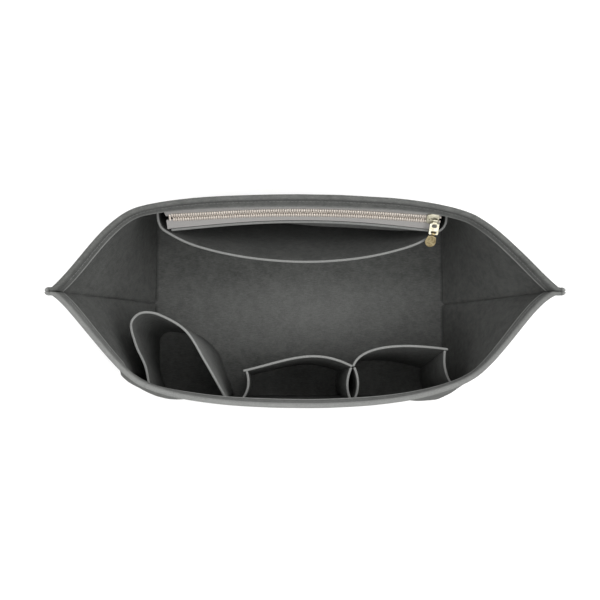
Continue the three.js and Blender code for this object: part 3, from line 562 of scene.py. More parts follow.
row_up = wall_rows(wall_climb, FOLD_START, FOLD_START - hem_down)
row_rise = wall_rows(0, SEWN / 2 * np.sin(fold_turn), 0)
row_off = wall_rows(0, SEWN / 2 * (1 - np.cos(fold_turn)), SEWN)
row_down = wall_rows(0, 0, hem_down)
row_tight = wall_rows(np.clip((wall_climb - FOLD_START) / HEM_DOWN + 1, 0, 1), 1, 1)
row_drawn = wall_rows(pinched(wall_climb, HEM_STITCH), 0, pinched(FOLD_START - hem_down, HEM_STITCH))
row_fold_light = wall_rows(np.clip((wall_climb - FOLD_START) / FOLD_FADE + 1, 0, 1),
                     1 - (1 - FOLD_LIGHT_INSIDE) * fold_turn / math.pi,
                     FOLD_LIGHT_INSIDE - (FOLD_LIGHT_INSIDE - FOLD_LIGHT_EDGE) * hem_down / HEM_DOWN)
row_edge = wall_rows(0, 0, np.interp(HEM_DOWN - hem_down, *HEM_EDGE))
for name, wall in (("back", back_wall), ("front", front_wall)):
    places = wall.columns()[None, :]
    u = 0.5 + places / wall.length
    to_end = wall.length / 2 - np.abs(places)
    level = 1 - HEM / WALL_HEIGHT
    room = np.abs(wall.middle(u, level)[..., 1] - TIP_SHIFT * np.sign(places) * level ** WING_BOW)
    tight = np.clip(room / (SEWN + FELT / 2), SQUEEZE, 1)
    tight *= 1 - FLANGE_THIN * (1 - np.sqrt(1 - np.clip(1 - to_end / FLANGE_ROUND, 0, 1) ** 2))
    aside = np.where(tight < 1, (SEWN + FELT / 2) * tight - room, 0)
    closed = SEAM_PRESS * np.clip(SEAM_PRESS_FROM - to_end / FLANGE, 0, 1)
    off = (row_off + wall.flare(places, row_down)) * tight - aside * row_tight + closed * (1 - row_tight)
    u, v = np.broadcast_arrays(u, (row_up + row_rise * tight) / WALL_HEIGHT)
    for along, out, heights, shares in wall.swells:
        off = off - eased(places, along, out) * eased(v * WALL_HEIGHT, heights, shares)
    grid = wander(wall.middle(u, v)) + wall.inward(u, v) * off[..., None]
    # painted light and shade on the fold, and the hem's pale cut edge with a painted shadow line above it
    fold_worn = np.interp(places, [places[0, 0], 0, places[0, -1]], wall.painted_light_and_shade)
    edge_seen = eased(np.abs(places), *wall.edge_shows)
    worn = np.where(row_edge == 0, row_fold_light * fold_worn, row_edge * edge_seen)
    worn = np.maximum(worn, FLANGE_PALE * np.clip(FLANGE_PALE_FROM - to_end / FLANGE_ROUND, 0, 1) * row_tight)
    panel = felt_piece(
        f"{name}_wall_felt", grid, pinch=row_drawn + row_tight * (1 - tight) * FELT / 2,
        pale=paleness(grid, FLANGE_PALE, 1.0), worn=worn)
    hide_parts(f"{name}_panel", f"{name}_hem_facing")
    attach(panel, "organizer")


# The hem's and side seams' stitches: rows of grey thread, sewn through both layers of felt,
# so that each row shows on both sides as short stitches sunk a little into the felt.
STITCH = 2.7
STITCH_PITCH = 3.2
THREAD = 0.29  # radius
THREAD_DARK = (0.10, 0.102, 0.1, 1.0)
THREAD_LIGHT = (0.2, 0.204, 0.2, 1.0)
THREAD_SIDES = 6
STITCH_STATIONS = np.array([0.0, 0.12, 0.35, 0.65, 0.88, 1.0])
STITCH_RISE = np.array([-0.45, -0.05, 0.12, 0.12, -0.05, -0.45])
STITCH_GIRTH = np.array([0.55, 0.95, 1.0, 1.0, 0.95, 0.55])
RUN_STEP = 0.2  # a stitch's direction is taken over so much to both sides
SUNK = FELT / 2 - STITCH_PRESS  # the stitches lie so far off the middle of their felt
HEM_SEWN_SHORT = 12.0  # the hem's stitches end so far before the flange
SEAM_SEWN_FROM = 6.0  # height above the base, where a side seam's stitches start
SEAM_SEWN_SHORT = 4.0  # and their distance from the rim, where they end
SEAM_SEWN_AT = 0.55  # their place on the flange, as a share of it


def thread_finish(name, dark, light):
    """Spun thread: a fine slanting twist of two greys, with a little sheen."""
    finish, tree, shader = new_finish(name, Roughness=0.7, Sheen_Weight=0.2, Specular_IOR_Level=0.25)
    place = add_node(tree, "ShaderNodeTexCoord").outputs["Object"]
    twist = texture(tree, "Wave", Vector=place, Scale=700.0, Distortion=1.5, Detail=1.0,
                    bands_direction="DIAGONAL")
    give_surface(tree, shader, mix_colours(tree, dark, light, twist), twist, 0.4, 0.0001)
    return finish


grey_thread = thread_finish("grey_thread", THREAD_DARK, THREAD_LIGHT)


def circle(sides):
    """Angles once round a circle."""
    return np.linspace(0, 2 * math.pi, sides, endpoint=False)


def tube_mesh(name, rings):
    """Closes rings of points, given by piece, station and side, into tubes with flat ends."""
    index = np.arange(rings[..., 0].size).reshape(rings.shape[:3])
    after = np.roll(index, -1, axis=2)
    sides = np.stack([index[:, :-1], after[:, :-1], after[:, 1:], index[:, 1:]], axis=-1).reshape(-1, 4)
    ends = np.concatenate([index[:, 0, ::-1], index[:, -1]])
    mesh = new_mesh(name, rings, sides.tolist() + ends.tolist())
    shape = bmesh.new()
    shape.from_mesh(mesh)
    bmesh.ops.recalc_face_normals(shape, faces=shape.faces)
    shape.to_mesh(mesh)
    shape.free()
    return mesh


def stitch_row(name, path, outward, finish=grey_thread):
    """Sews a row of stitches along a path; outward is the felt's normal there."""
    at, length = by_length(path)
    count = max(1, int((length - STITCH) // STITCH_PITCH) + 1)
    start = (length - (count - 1) * STITCH_PITCH - STITCH) / 2
    station = (start + np.arange(count)[:, None] * STITCH_PITCH + STITCH_STATIONS * STITCH) / length
    normal = unit(by_length(path, outward)[0](station))
    run = unit(at(station + RUN_STEP / length) - at(station - RUN_STEP / length))
    sideways = np.cross(run, normal)
    centre = at(station) + normal * STITCH_RISE[:, None]
    turns = circle(THREAD_SIDES)[:, None]
    ring = np.cos(turns) * sideways[..., None, :] + np.sin(turns) * normal[..., None, :]
    rings = centre[..., None, :] + ring * (THREAD * STITCH_GIRTH)[:, None, None]
    row = add_object(name, tube_mesh(name, rings), finish)
    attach(row, "organizer")


def sew_wall(name, wall, places, ups, off, way):
    """Sews stitches on a wall, so far off it, that face inwards (1) or outwards (-1)."""
    u, v = np.broadcast_arrays(0.5 + places / wall.length, ups / WALL_HEIGHT)
    normal = wall.inward(u, v)
    path = wander(wall.middle(u, v)) + normal * np.broadcast_to(off, u.shape)[:, None]
    stitch_row(name, path, way * normal)


seam_ups = np.linspace(SEAM_SEWN_FROM, WALL_HEIGHT - SEAM_SEWN_SHORT, 160)
for name, wall in (("back", back_wall), ("front", front_wall)):
    reach = wall.length / 2 - FLANGE - HEM_SEWN_SHORT
    places = np.linspace(-reach, reach, 400)
    sprung = SEWN + wall.flare(places, FOLD_START - HEM_STITCH)
    sew_wall(f"{name}_hem_stitches_inside", wall, places, HEM_STITCH, sprung + SUNK, 1)
    sew_wall(f"{name}_hem_stitches_outside", wall, places, HEM_STITCH, -SUNK, -1)
    for side, way in (("left", -1), ("right", 1)):
        place = way * (wall.length / 2 - FLANGE * SEAM_SEWN_AT)
        sew_wall(f"{name}_{side}_seam_stitches", wall, place, seam_ups, -SUNK, -1)


# The zip's tapes: two woven pale grey bands, each under 10 mm wide.
# The upper one is sewn to the back wall below the hem and the lower one behind the felt of the zip pocket;
# between them the chain runs along one long shallow arc.
TAPE_TOP = 26.9
ZIP_DROP = 5.5
ZIP_STANDOFF = 8.8
ZIP_SAG = 1.4  # between its ends the chain hangs so far towards the pocket
ZIP_SAG_POWER = 6
TAPE_HALF = 120.5
TAPE_LEFT = -TAPE_HALF - 6.0
TAPE = 0.6
TAPE_ROUNDING = 0.25
TAPE_LINES = 1.8
TAPE_DIP = 7.3  # from the chain down to the pocket's felt at the middle
TAPE_DIP_END = 10.3  # and at the tapes' ends
TEETH_BACK = 3.0
TAPE_START = TEETH_BACK - 0.6  # the tapes' corded edges, under the teeth
UPPER_SHARES = np.array([0.0, 0.12, 0.3, 0.5, 0.7, 0.88, 1.0])[:, None, None]  # lines across the tapes
LOWER_SHARES = np.array([0.0, 0.15, 0.4, 0.65, 0.85, 1.0])[:, None]
TAPE_DARK = (0.205, 0.198, 0.191, 1.0)
TAPE_LIGHT = (0.36, 0.351, 0.342, 1.0)
RIB = 0.55  # spacing of the weave's ribs
TAPE_OFF = (FELT + TAPE) / 2 + SEAM_GAP


def tape_edge(along):
    """Points of the upper tape's sewn edge."""
    return back_wall.standing(along, WALL_HEIGHT - TAPE_TOP, TAPE_OFF)


tape_middle, tape_left, tape_right = (tape_edge(along) for along in (0.0, -TAPE_HALF, TAPE_HALF))
tape_bow = tape_middle[1] - (tape_left[1] + tape_right[1]) / 2
ZIP_RADIUS = TAPE_HALF ** 2 / (2 * tape_bow) + tape_bow / 2
ZIP_CENTRE_Y = tape_middle[1] - ZIP_STANDOFF - ZIP_RADIUS
ZIP_HEIGHT = tape_middle[2] - ZIP_DROP
ZIP_TILT = math.atan2(ZIP_DROP, ZIP_STANDOFF)


def zip_point(x, across, out):
    """A point of the zip: along the chain, across it towards the rim, and out of it towards the eye."""
    x, across, out = np.broadcast_arrays(np.asarray(x, float), across, out)
    across = across - ZIP_SAG * (1 - np.clip(x / TAPE_HALF, -1, 1) ** ZIP_SAG_POWER)
    radius = ZIP_RADIUS + across * math.cos(ZIP_TILT) - out * math.sin(ZIP_TILT)
    angle = x / ZIP_RADIUS
    return np.stack([
        radius * np.sin(angle), ZIP_CENTRE_Y + radius * np.cos(angle),
        ZIP_HEIGHT + across * math.sin(ZIP_TILT) + out * math.cos(ZIP_TILT),
    ], axis=-1)


def tape_dip(x):
    """How far the lower tape reaches below the chain."""
    return TAPE_DIP + (TAPE_DIP_END - TAPE_DIP) * (x / TAPE_HALF) ** 2


def tape_finish():
    """Woven tape: ribs across the band, a finer slanting weave, and uneven grey yarn."""
    finish, tree, shader = new_finish(
        "woven_tape", Roughness=0.75, Sheen_Weight=0.15, Specular_IOR_Level=0.25)
    weave = add_node(tree, "ShaderNodeAttribute", attribute_name="weave").outputs["Vector"]
    ribs, slant = (
        texture(tree, "Wave", Vector=weave, Scale=1 / RIB / coarse, Distortion=distortion,
                bands_direction=direction)
        for coarse, distortion, direction in ((3.2, 0.3, "X"), (1.8, 0.4, "DIAGONAL")))
    yarn = texture(tree, "Noise", Vector=weave, Scale=1.6, Detail=3.0)
    woven = maths(tree, "MULTIPLY_ADD", slant, 0.5, ribs)
    tone = ranged(tree, maths(tree, "ADD", woven, yarn), 0.4, 2.0)
    give_surface(tree, shader, mix_colours(tree, TAPE_DARK, TAPE_LIGHT, tone), woven, 0.6, 0.00015)
    return finish


tape_cloth = tape_finish()


def set_weave(mesh):
    """Keeps each point's place along and across the band, in millimetres, for the weave."""
    points = np.empty(len(mesh.vertices) * 3)
    mesh.vertices.foreach_get("co", points)
    x, y, _ = points.reshape(-1, 3).T / MM
    along = np.arctan2(x, y - ZIP_CENTRE_Y) * ZIP_RADIUS
    across = (np.hypot(x, y - ZIP_CENTRE_Y) - ZIP_RADIUS) / math.cos(ZIP_TILT)
    places = np.stack([along, across, 0 * along], axis=-1)
    mesh.attributes.new("weave", "FLOAT_VECTOR", "POINT").data.foreach_set("vector", places.ravel())


tape_x = lines(TAPE_HALF - TAPE_LEFT, TAPE_LINES) + TAPE_LEFT
chain_side = zip_point(tape_x, TAPE_START, 0.0)
upper_grid = chain_side + (tape_edge(tape_x) - chain_side) * UPPER_SHARES
lower_across = tape_dip(tape_x) + (TAPE_START - tape_dip(tape_x)) * LOWER_SHARES
lower_grid = zip_point(tape_x, -lower_across, 0.0)
for name, grid in (("upper", upper_grid), ("lower", lower_grid)):
    mesh = sheet_mesh(f"{name}_tape", grid, TAPE, TAPE_ROUNDING)
    set_weave(mesh)
    tape = add_object(f"{name}_tape", mesh, tape_cloth)
    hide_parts(f"{name}_zip_tape")
    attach(tape, "organizer")


# The zip pocket's felt: a panel whose upper edge is sewn over the lower tape with one row of dark thread,
# and whose foot is sewn to the back wall behind the slip pocket.
PANEL_INSET = 3.5
PANEL_FOOT = 45.0
PANEL_BELLY = 5.5  # the felt bellies out below its sewn upper edge
PANEL_BELLY_AT = 46.0  # most of all so far right of the middle
PANEL_BELLY_REACH = 66.0
PANEL_BELLY_DOWN = ((0.5, 19, 80), (0, 1, 0))  # distances below the upper edge, and shares of the belly
PANEL_LINES = 3.4
PANEL_PALE = (0.3, 0.5)  # its ends' and its lip's cut edges
ZIP_THREAD_DARK = (0.028, 0.028, 0.027, 1.0)
ZIP_THREAD_LIGHT = (0.07, 0.07, 0.068, 1.0)
ZIP_STITCH_DOWN = 2.4  # from the panel's upper edge to its stitches
ZIP_STITCH_SHORT = 3.0  # and from its ends
PANEL_HANG = ZIP_HEIGHT - PANEL_FOOT
PANEL_LEFT = TAPE_LEFT + PANEL_INSET
panel_width = TAPE_HALF - PANEL_INSET - PANEL_LEFT


def panel_line(x, share):
    """Points of the zip pocket's felt at places along it, a share of the way from its foot to its lip."""
    x, share = np.broadcast_arrays(x, share)
    low = back_wall.standing(x, PANEL_FOOT, SEWN)
    high = zip_point(x, -tape_dip(x), 0.0)
    high[..., 1] -= SEAM_GAP + FELT / 2 + TAPE / 2
    high[..., 2] += TAPE
    point = low + (high - low) * share[..., None]
    belly = PANEL_BELLY * np.exp(-((x - PANEL_BELLY_AT) / PANEL_BELLY_REACH) ** 4)
    point[..., 1] -= belly * eased((1 - share) * PANEL_HANG, *PANEL_BELLY_DOWN)
    return point


panel_length = np.linalg.norm(panel_line(0.0, 1.0) - panel_line(0.0, 0.0))
panel_sewn = panel_length - ZIP_STITCH_DOWN
panel_x = lines(panel_width) + PANEL_LEFT
panel_rows = lines(panel_length, PANEL_LINES, [panel_sewn])[:, None]
panel_grid = panel_line(panel_x[None, :], panel_rows / panel_length)
panel = felt_piece("zip_pocket_felt", panel_grid, pinch=pinched(panel_rows, panel_sewn),
                   pale=paleness(panel_grid, *PANEL_PALE))
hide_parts("zip_pocket_panel")
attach(panel, "organizer")

dark_thread = thread_finish("dark_thread", ZIP_THREAD_DARK, ZIP_THREAD_LIGHT)
sewing = PANEL_LEFT + np.linspace(ZIP_STITCH_SHORT, panel_width - ZIP_STITCH_SHORT, 300)
path = panel_line(sewing, panel_sewn / panel_length)
slope = unit(np.cross(np.gradient(path, axis=0), panel_line(sewing, 1.0) - path))
stitch_row("zip_panel_stitches", path + slope * SUNK, slope, dark_thread)


# The chain: two rows of small pale rose-gold teeth, clamped one by one on the tapes' corded edges.
# The rows stand half a pitch apart and their heads mesh along the middle; metal stops close both ends.
TOOTH_PITCH = 2.1
STOP = 1.8
STOP_ROUNDING = 0.35
SLIDER_FROM_END = 7.5
SLIDER_X = TAPE_HALF - SLIDER_FROM_END
BOTTOM_STOP_X = TAPE_LEFT + STOP * 2
CHAIN_START = BOTTOM_STOP_X + STOP / 2 + SEAM_GAP
CHAIN_END = SLIDER_X + SEAM_GAP
# stations from a tooth's back to its head: place across the chain, half its width, half its thickness
TOOTH_STATIONS = (
    (3.7, 0.6, 0.6), (3.5, 0.84, 0.95), (2.4, 0.92, 1.1), (1.1, 0.92, 1.1), (0.75, 0.84, 1.0),
    (0.45, 0.46, 0.5), (0.25, 0.34, 0.24), (0.0, 0.32, 0.2), (-0.35, 0.3, 0.18), (-0.5, 0.24, 0.14),
)
TOOTH_SIDES = 10
TOOTH_SQUARENESS = 0.55
CORD = 0.62  # radius of the corded edge
CORD_BACK = 0.75  # from the teeth's back to the cord's middle
CORD_SHORT = 0.4
CORD_SIDES = 10
ROSE_DARK = (0.42, 0.365, 0.315, 1.0)
ROSE_LIGHT = (0.7, 0.64, 0.575, 1.0)
SCRATCH_TURN = (0.4, 0.2, 0.9)
SCRATCH_SCALE = (600.0, 6000.0, 6000.0)
CAST_JOIN = 0.01 * MM  # points of a cast part that are so close are one
CAST_FLAT = 2  # degrees
CAST_SHARP = 35


def metal_finish(name, dark, light, roughness, scale, metallic=1.0):
    """Plated metal: soft patches of tone, fine rubbed scratches and an uneven polish."""
    finish, tree, shader = new_finish(name, Metallic=metallic)
    place = add_node(tree, "ShaderNodeTexCoord").outputs["Object"]
    patches = texture(tree, "Noise", Vector=place, Scale=scale, Detail=3.0)
    scratches = streaks(tree, place, SCRATCH_TURN, SCRATCH_SCALE)
    polish = ranged(tree, scratches, 0.3, 0.7, roughness * 0.8, roughness * 1.25)
    feed(tree, shader.inputs["Roughness"], polish)
    colour = mix_colours(tree, dark, light, ranged(tree, patches, 0.25, 0.6))
    give_surface(tree, shader, colour, scratches, 0.15, 0.00005)
    return finish


rose_metal = metal_finish("rose_gold_plate", ROSE_DARK, ROSE_LIGHT, 0.42, 900.0, 0.55)


def tooth_row(name, side, shift):
    """One row of teeth, each a lofted body with a rounded back, a neck and a sunk head."""
    count = int((CHAIN_END - CHAIN_START - TOOTH_PITCH) // TOOTH_PITCH)
    centres = CHAIN_START + shift + (np.arange(count) + 0.5) * TOOTH_PITCH
    turns = circle(TOOTH_SIDES) + math.pi / TOOTH_SIDES
    wide, thick = (
        np.sign(part) * np.abs(part) ** TOOTH_SQUARENESS for part in (np.cos(turns), np.sin(turns)))
    across, half_width, half_thickness = np.array(TOOTH_STATIONS).T[:, None, :, None]
    x = centres[:, None, None] + half_width * wide * side
    return tube_mesh(name, zip_point(x, side * across, half_thickness * thick))


def corded_edge(name, side):
    """The cord woven into a tape's edge, that the teeth are clamped on."""
    x = np.linspace(TAPE_LEFT + CORD_SHORT, TAPE_HALF - CORD_SHORT, 260)[None, :, None]
    turns = circle(CORD_SIDES)
    across = side * (TEETH_BACK - CORD_BACK) + CORD * np.cos(turns)
    mesh = tube_mesh(name, zip_point(x, across, CORD * np.sin(turns)))
    set_weave(mesh)
    return mesh


for name, side, shift in (("upper", 1, 0.0), ("lower", -1, TOOTH_PITCH / 2)):
    teeth = add_object(f"{name}_teeth", tooth_row(f"{name}_teeth", side, shift), rose_metal)
    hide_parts(f"{name}_zip_teeth")
    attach(teeth, "organizer")
    cord = add_object(f"{name}_tape_cord", corded_edge(f"{name}_tape_cord", side), tape_cloth)
    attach(cord, "organizer")


def metal_piece(name, shape, finish, rounding, flat, sharp):
    """Makes a metal piece of a shape, and rounds off its edges, as tumbling does.

    flat is the angle under which faces are one, and sharp the angle over which an edge is rounded.
    """
    bmesh.ops.dissolve_limit(shape, angle_limit=math.radians(flat), verts=shape.verts, edges=shape.edges)
    mesh = bpy.data.meshes.new(name)
    shape.to_mesh(mesh)
    shape.free()
    mesh.shade_smooth()
    piece = add_object(name, mesh, finish)
    soften = piece.modifiers.new("rounded_edges", "BEVEL")
    soften.width = rounding * MM
    soften.segments = 3
    soften.limit_method = "ANGLE"
    soften.angle_limit = math.radians(sharp)
    soften.harden_normals = True
    return piece


def worked_metal(name, node, finish, rounding):
    """Takes a small cast part's shape from the frame."""
    shape = bmesh.new()
    shape.from_mesh(frame["nodes"][node].data)
    bmesh.ops.remove_doubles(shape, verts=shape.verts, dist=CAST_JOIN)
    return metal_piece(name, shape, finish, rounding, CAST_FLAT, CAST_SHARP)


for node in ("upper_top_stop", "lower_top_stop", "bottom_stop"):
    stop = worked_metal(f"{node}_metal", node, rose_metal, STOP_ROUNDING)
    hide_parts(node)
    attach(stop, "organizer")


# The slider: a polished pale gold casting with two plates round the chain and a square crown on its back
# that carries the pull. It runs along the chain.
SLIDER_ROUNDING = 0.22
GOLD_DARK = (0.4, 0.37, 0.265, 1.0)
GOLD_LIGHT = (0.58, 0.555, 0.45, 1.0)
pale_gold = metal_finish("pale_gold_plate", GOLD_DARK, GOLD_LIGHT, 0.42, 350.0)
slider = worked_metal("slider_metal", "slider_body", pale_gold, SLIDER_ROUNDING)
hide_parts("slider_body")
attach(slider, "zip_slider")


# The slip pocket: a wide felt panel on the back wall, sewn along its foot and up its two ends.
# Its lip is cut straight, but the felt bellies far out, so from above the lip is a long bow.
SLIP_LEFT = (5.0 - TAPE_LEFT, 24.5)  # place of the lip's end, and how far it stands off the wall beside it
SLIP_RIGHT = (TAPE_HALF + 7.4, 22.0)
SLIP_FOOT = 136.0
SLIP_TOP = WALL_HEIGHT - 39.0
SLIP_END_RISE = 2.0
SLIP_RISE_POWER = 12
SLIP_BELLY = 57.0
SLIP_TURN = ((1, 0.6), (8, 1.0))  # from the lip's end inwards, and shares of its stand-off there
SLIP_BENDS = ((0.74, 0.48), (0.4, 0.86))  # shares of the way out to the end, and of the belly there
SLIP_PALE = (0.3, 0.62)
# the slip pocket's felt is painted a little darker all over, as shade
SLIP_PAINTED_SHADE = -0.22
LIP_LINES = 2.2  # spacing of the points along a pocket's lip
FLOOR = FELT + 0.8  # height of the pockets' feet


def through_points(points, even, count=60):
    """A smooth line through points, by even steps or (for uneven points) by the roots of their distances."""
    points = np.array(points, float)
    first, last = points[:1], points[-1:]
    if not even:
        first, last = 2 * first - points[1:2], 2 * last - points[-2:-1]
    chain = np.concatenate([first, points, last])
    share = np.linspace(0, 1, count)[:, None]
    bends = []
    for a, b, c, d in zip(chain, chain[1:], chain[2:], chain[3:]):
        before, step, after = (
            1.0 if even else math.sqrt(np.linalg.norm(q - p)) for p, q in ((a, b), (b, c), (c, d)))
        leave = ((b - a) / before - (c - a) / (before + step) + (c - b) / step) * step
        arrive = ((c - b) / step - (d - b) / (step + after) + (d - c) / after) * step
        bends.append(b + leave * share + (3 * (c - b) - 2 * leave - arrive) * share ** 2
                     + (2 * (b - c) + leave + arrive) * share ** 3)
    return np.concatenate(bends)


def slip_side(way, end, shoulder):
    """One side of the lip's plan: its sewn end, the turn off the wall, and the bend towards the belly."""
    out = SLIP_BELLY - shoulder
    turn = [(way * (end - short), shoulder * share) for short, share in SLIP_TURN]
    bends = [(way * end * place, shoulder + out * share) for place, share in SLIP_BENDS]
    return [(way * end, SEWN), *turn, *bends]


slip_lip, slip_length = by_length(through_points(
    slip_side(-1, *SLIP_LEFT) + [(0, SLIP_BELLY)] + slip_side(1, *SLIP_RIGHT)[::-1], even=True))
slip_height = SLIP_TOP - FLOOR
s, t = np.broadcast_arrays(
    lines(slip_length, LIP_LINES)[None, :] / slip_length, lines(slip_height)[:, None] / slip_height)
lip = slip_lip(s)
slip_top = SLIP_TOP + SLIP_END_RISE * (2 * s - 1) ** SLIP_RISE_POWER
slip_grid = back_wall.standing(
    SLIP_FOOT * (2 * s - 1) * (1 - t) + lip[..., 0] * t, FLOOR + (slip_top - FLOOR) * t,
    SEWN + (lip[..., 1] - SEWN) * t)
slip = felt_piece("slip_pocket_felt", slip_grid, pale=paleness(slip_grid, *SLIP_PALE), worn=SLIP_PAINTED_SHADE)
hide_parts("slip_pocket")
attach(slip, "organizer")


# The pull: a flat stamped link rolled round the slider's crown, and a darker tab rolled round the link's
# end. Both are plated metal with tumbled edges; the tab hangs a little askew and has a raised border round
# a plain field.
LINK_WIDTH = 8.6
LINK_THICKNESS = 1.1
LINK_CORNER = 1.2
LINK_HINGE = 12.3
END_BAR = 1.4
LINK_EYE = (0.95, 0.75, 4.0)  # inner radius, wall and length
LINK_SHOULDER = (2.4, 3.2)
LINK_WINDOW = (3.5, 6.6, 4.8)  # from, to and width
LINK_SLOT_DEPTH = 1.7
LINK_SLOT_WIDTH = 5.2
TAB_EYE = (1.2, 0.6, 3.2)
TAB_LENGTH = 12.4
TAB_WIDTH = 9.8
TAB_NECK_WIDTH = 7.6
TAB_NECK_AT = 2.4
TAB_THICKNESS = 1.2
TAB_LEAN = math.radians(10)
TAB_DROOP = math.radians(8)
TAB_BORDER = 1.2
TAB_SINK = 0.3
TAB_FIELD_LAP = 0.6  # the sunk field starts at this share of the border
EDGE_TUMBLE = 0.24
STAMPED_FLAT = 1  # degrees
STAMPED_SHARP = 40
ANTIQUE_DARK = (0.16, 0.12, 0.055, 1.0)
ANTIQUE_LIGHT = (0.4, 0.33, 0.19, 1.0)
antique_gold = metal_finish("antique_gold_plate", ANTIQUE_DARK, ANTIQUE_LIGHT, 0.3, 420.0)
joints = {joint["name"]: joint for joint in frame["record"]["behaviour"]["joints"]}
crown_place = Vector(joints["link_lift"]["pos_m"])
tab_place = Vector(joints["tab_swing"]["pos_m"])
pull_x = -Vector(joints["link_lift"]["axis"]).normalized()
pull_y = (crown_place - tab_place).normalized()
pull_turn = Matrix((pull_x, pull_y, pull_x.cross(pull_y))).transposed().to_4x4()


def arc_points(x, y, radius, start, stop, count=10):
    angles = np.linspace(start, stop, count)
    return np.stack([x + radius * np.cos(angles), y + radius * np.sin(angles)], axis=1)


def window(start, stop, width):
    """A window through a plate with round ends, from one place down the plate to another."""
    radius = (stop - start) / 2
    middle = -(start + stop) / 2
    return np.concatenate([
        arc_points(width / 2 - radius, middle, radius, math.pi / 2, -math.pi / 2),
        arc_points(-width / 2 + radius, middle, radius, -math.pi / 2, -math.pi * 1.5),
    ])


def add_plate(shape, thickness, *outlines):
    """Adds a flat plate across the pull's middle: the first outline is its edge, the others are windows."""
    loops = [[Vector((x, y, 0)) for x, y in outline] for outline in outlines]
    flat = [point for loop in loops for point in loop]
    top, under = (
        [shape.verts.new((p.x * MM, p.y * MM, height * MM)) for p in flat]
        for height in (thickness / 2, -thickness / 2))
    for a, b, c in geometry.tessellate_polygon(loops):
        shape.faces.new((top[a], top[b], top[c]))
        shape.faces.new((under[c], under[b], under[a]))
    first = 0
    for loop in loops:
        for k in range(len(loop)):
            a, b = first + k, first + (k + 1) % len(loop)
            shape.faces.new((top[a], under[a], under[b], top[b]))
        first += len(loop)


def add_eye(shape, inner, wall, length, count=28):
    """Adds a rolled eye: a short tube along X round the pull's hinge line."""
    outer, end = inner + wall, length / 2
    turns = circle(count)
    rings = [
        [shape.verts.new((x * MM, radius * math.cos(a) * MM, radius * math.sin(a) * MM)) for a in turns]
        for x, radius in ((-end, inner), (-end, outer), (end, outer), (end, inner))
    ]
    for ring, after in zip(rings, rings[1:] + rings[:1]):
        for k in range(count):
            shape.faces.new((ring[k], ring[(k + 1) % count], after[(k + 1) % count], after[k]))


def stamped(name, shape, place, finish):
    """Finishes a stamped metal piece: outward faces, tumbled edges, and its place on the slider."""
    bmesh.ops.recalc_face_normals(shape, faces=shape.faces)
    piece = metal_piece(name, shape, finish, EDGE_TUMBLE, STAMPED_FLAT, STAMPED_SHARP)
    piece.data.transform(place)
    return piece


half = LINK_WIDTH / 2
link_end = LINK_HINGE + END_BAR / 2
eye_half = LINK_EYE[2] / 2
eye_edge = -LINK_EYE[0] - LINK_EYE[1] / 2
link_outline = np.concatenate([
    [(eye_half, eye_edge), (-eye_half, eye_edge), (-eye_half, -LINK_SHOULDER[0]), (-half, -LINK_SHOULDER[1])],
    arc_points(-half + LINK_CORNER, -link_end + LINK_CORNER, LINK_CORNER, math.pi, math.pi * 1.5),
    arc_points(half - LINK_CORNER, -link_end + LINK_CORNER, LINK_CORNER, math.pi * 1.5, math.pi * 2),
    [(half, -LINK_SHOULDER[1]), (eye_half, -LINK_SHOULDER[0])],
])
slot_end = LINK_HINGE - END_BAR / 2
link_slot = window(slot_end - LINK_SLOT_DEPTH, slot_end, LINK_SLOT_WIDTH)
link_shape = bmesh.new()
add_plate(link_shape, LINK_THICKNESS, link_outline, window(*LINK_WINDOW), link_slot)
add_eye(link_shape, *LINK_EYE)
link = stamped("pull_link_metal", link_shape, Matrix.Translation(crown_place) @ pull_turn, pale_gold)
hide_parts("pull_link")
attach(link, "zip_link")


def tab_outline(inset):
    """The tab's outline below its eye, or a line so far inside it."""
    neck = TAB_NECK_WIDTH / 2 - inset
    top = -TAB_NECK_AT - inset
    tab_round = TAB_WIDTH / 2
    bottom = arc_points(0, -TAB_LENGTH + tab_round, tab_round - inset, math.pi, math.pi * 2, 28)
    return np.concatenate([[(-neck, top)], bottom, [(neck, top)]])


tab_shape = bmesh.new()
tongue_half = TAB_EYE[2] / 2
tongue_top = -TAB_EYE[0] - TAB_EYE[1] / 2
tongue_end = -TAB_NECK_AT - TAB_BORDER
tongue = [(tongue_half, tongue_top), (-tongue_half, tongue_top), (-tongue_half, tongue_end),
          (tongue_half, tongue_end)]
add_plate(tab_shape, TAB_THICKNESS, tab_outline(0), tab_outline(TAB_BORDER)[::-1])
add_plate(tab_shape, TAB_THICKNESS - 2 * TAB_SINK, tab_outline(TAB_BORDER * TAB_FIELD_LAP))
add_plate(tab_shape, TAB_THICKNESS - TAB_SINK, tongue)
add_eye(tab_shape, *TAB_EYE)
tab_turn = Matrix.Rotation(TAB_DROOP, 4, "X") @ Matrix.Rotation(-TAB_LEAN, 4, "Z")
tab_at = Matrix.Translation(tab_place) @ pull_turn @ tab_turn
tab = stamped("pull_tab_metal", tab_shape, tab_at, antique_gold)
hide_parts("pull_tab")
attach(tab, "zip_pull")


# The bottle holder: one loop of felt in the front left corner, sewn to the front wall at both ends
# and standing on the base, with a straight-cut lip. Its face is painted paler as light towards the lip, on
# the side towards the middle of the tray.
BUTTED = SEWN + SEAM_GAP  # from a wall's middle to the end of a piece sewn on at its edge
BOTTLE_HEIGHT = 125.0
BOTTLE_LEFT_SEAM = 137.0
BOTTLE_RIGHT_SEAM = 70.0
# how far right of the base's left edge a loop starts, how far back it reaches, and its bends from there
BOTTLE_LIP = (-7.0, 78.0, ((13, 48), (4, 28), (0, 9), (7, 1), (17, 0), (27, 3), (48, 16), (66, 44)))
BOTTLE_FOOT = (3.3, 66.0, ((1.1, 42), (0, 18), (1.1, 6), (8.7, 0), (22, 0.6), (40, 5), (60, 22), (68, 42)))
BOTTLE_PALE = (0.3, 0.72)
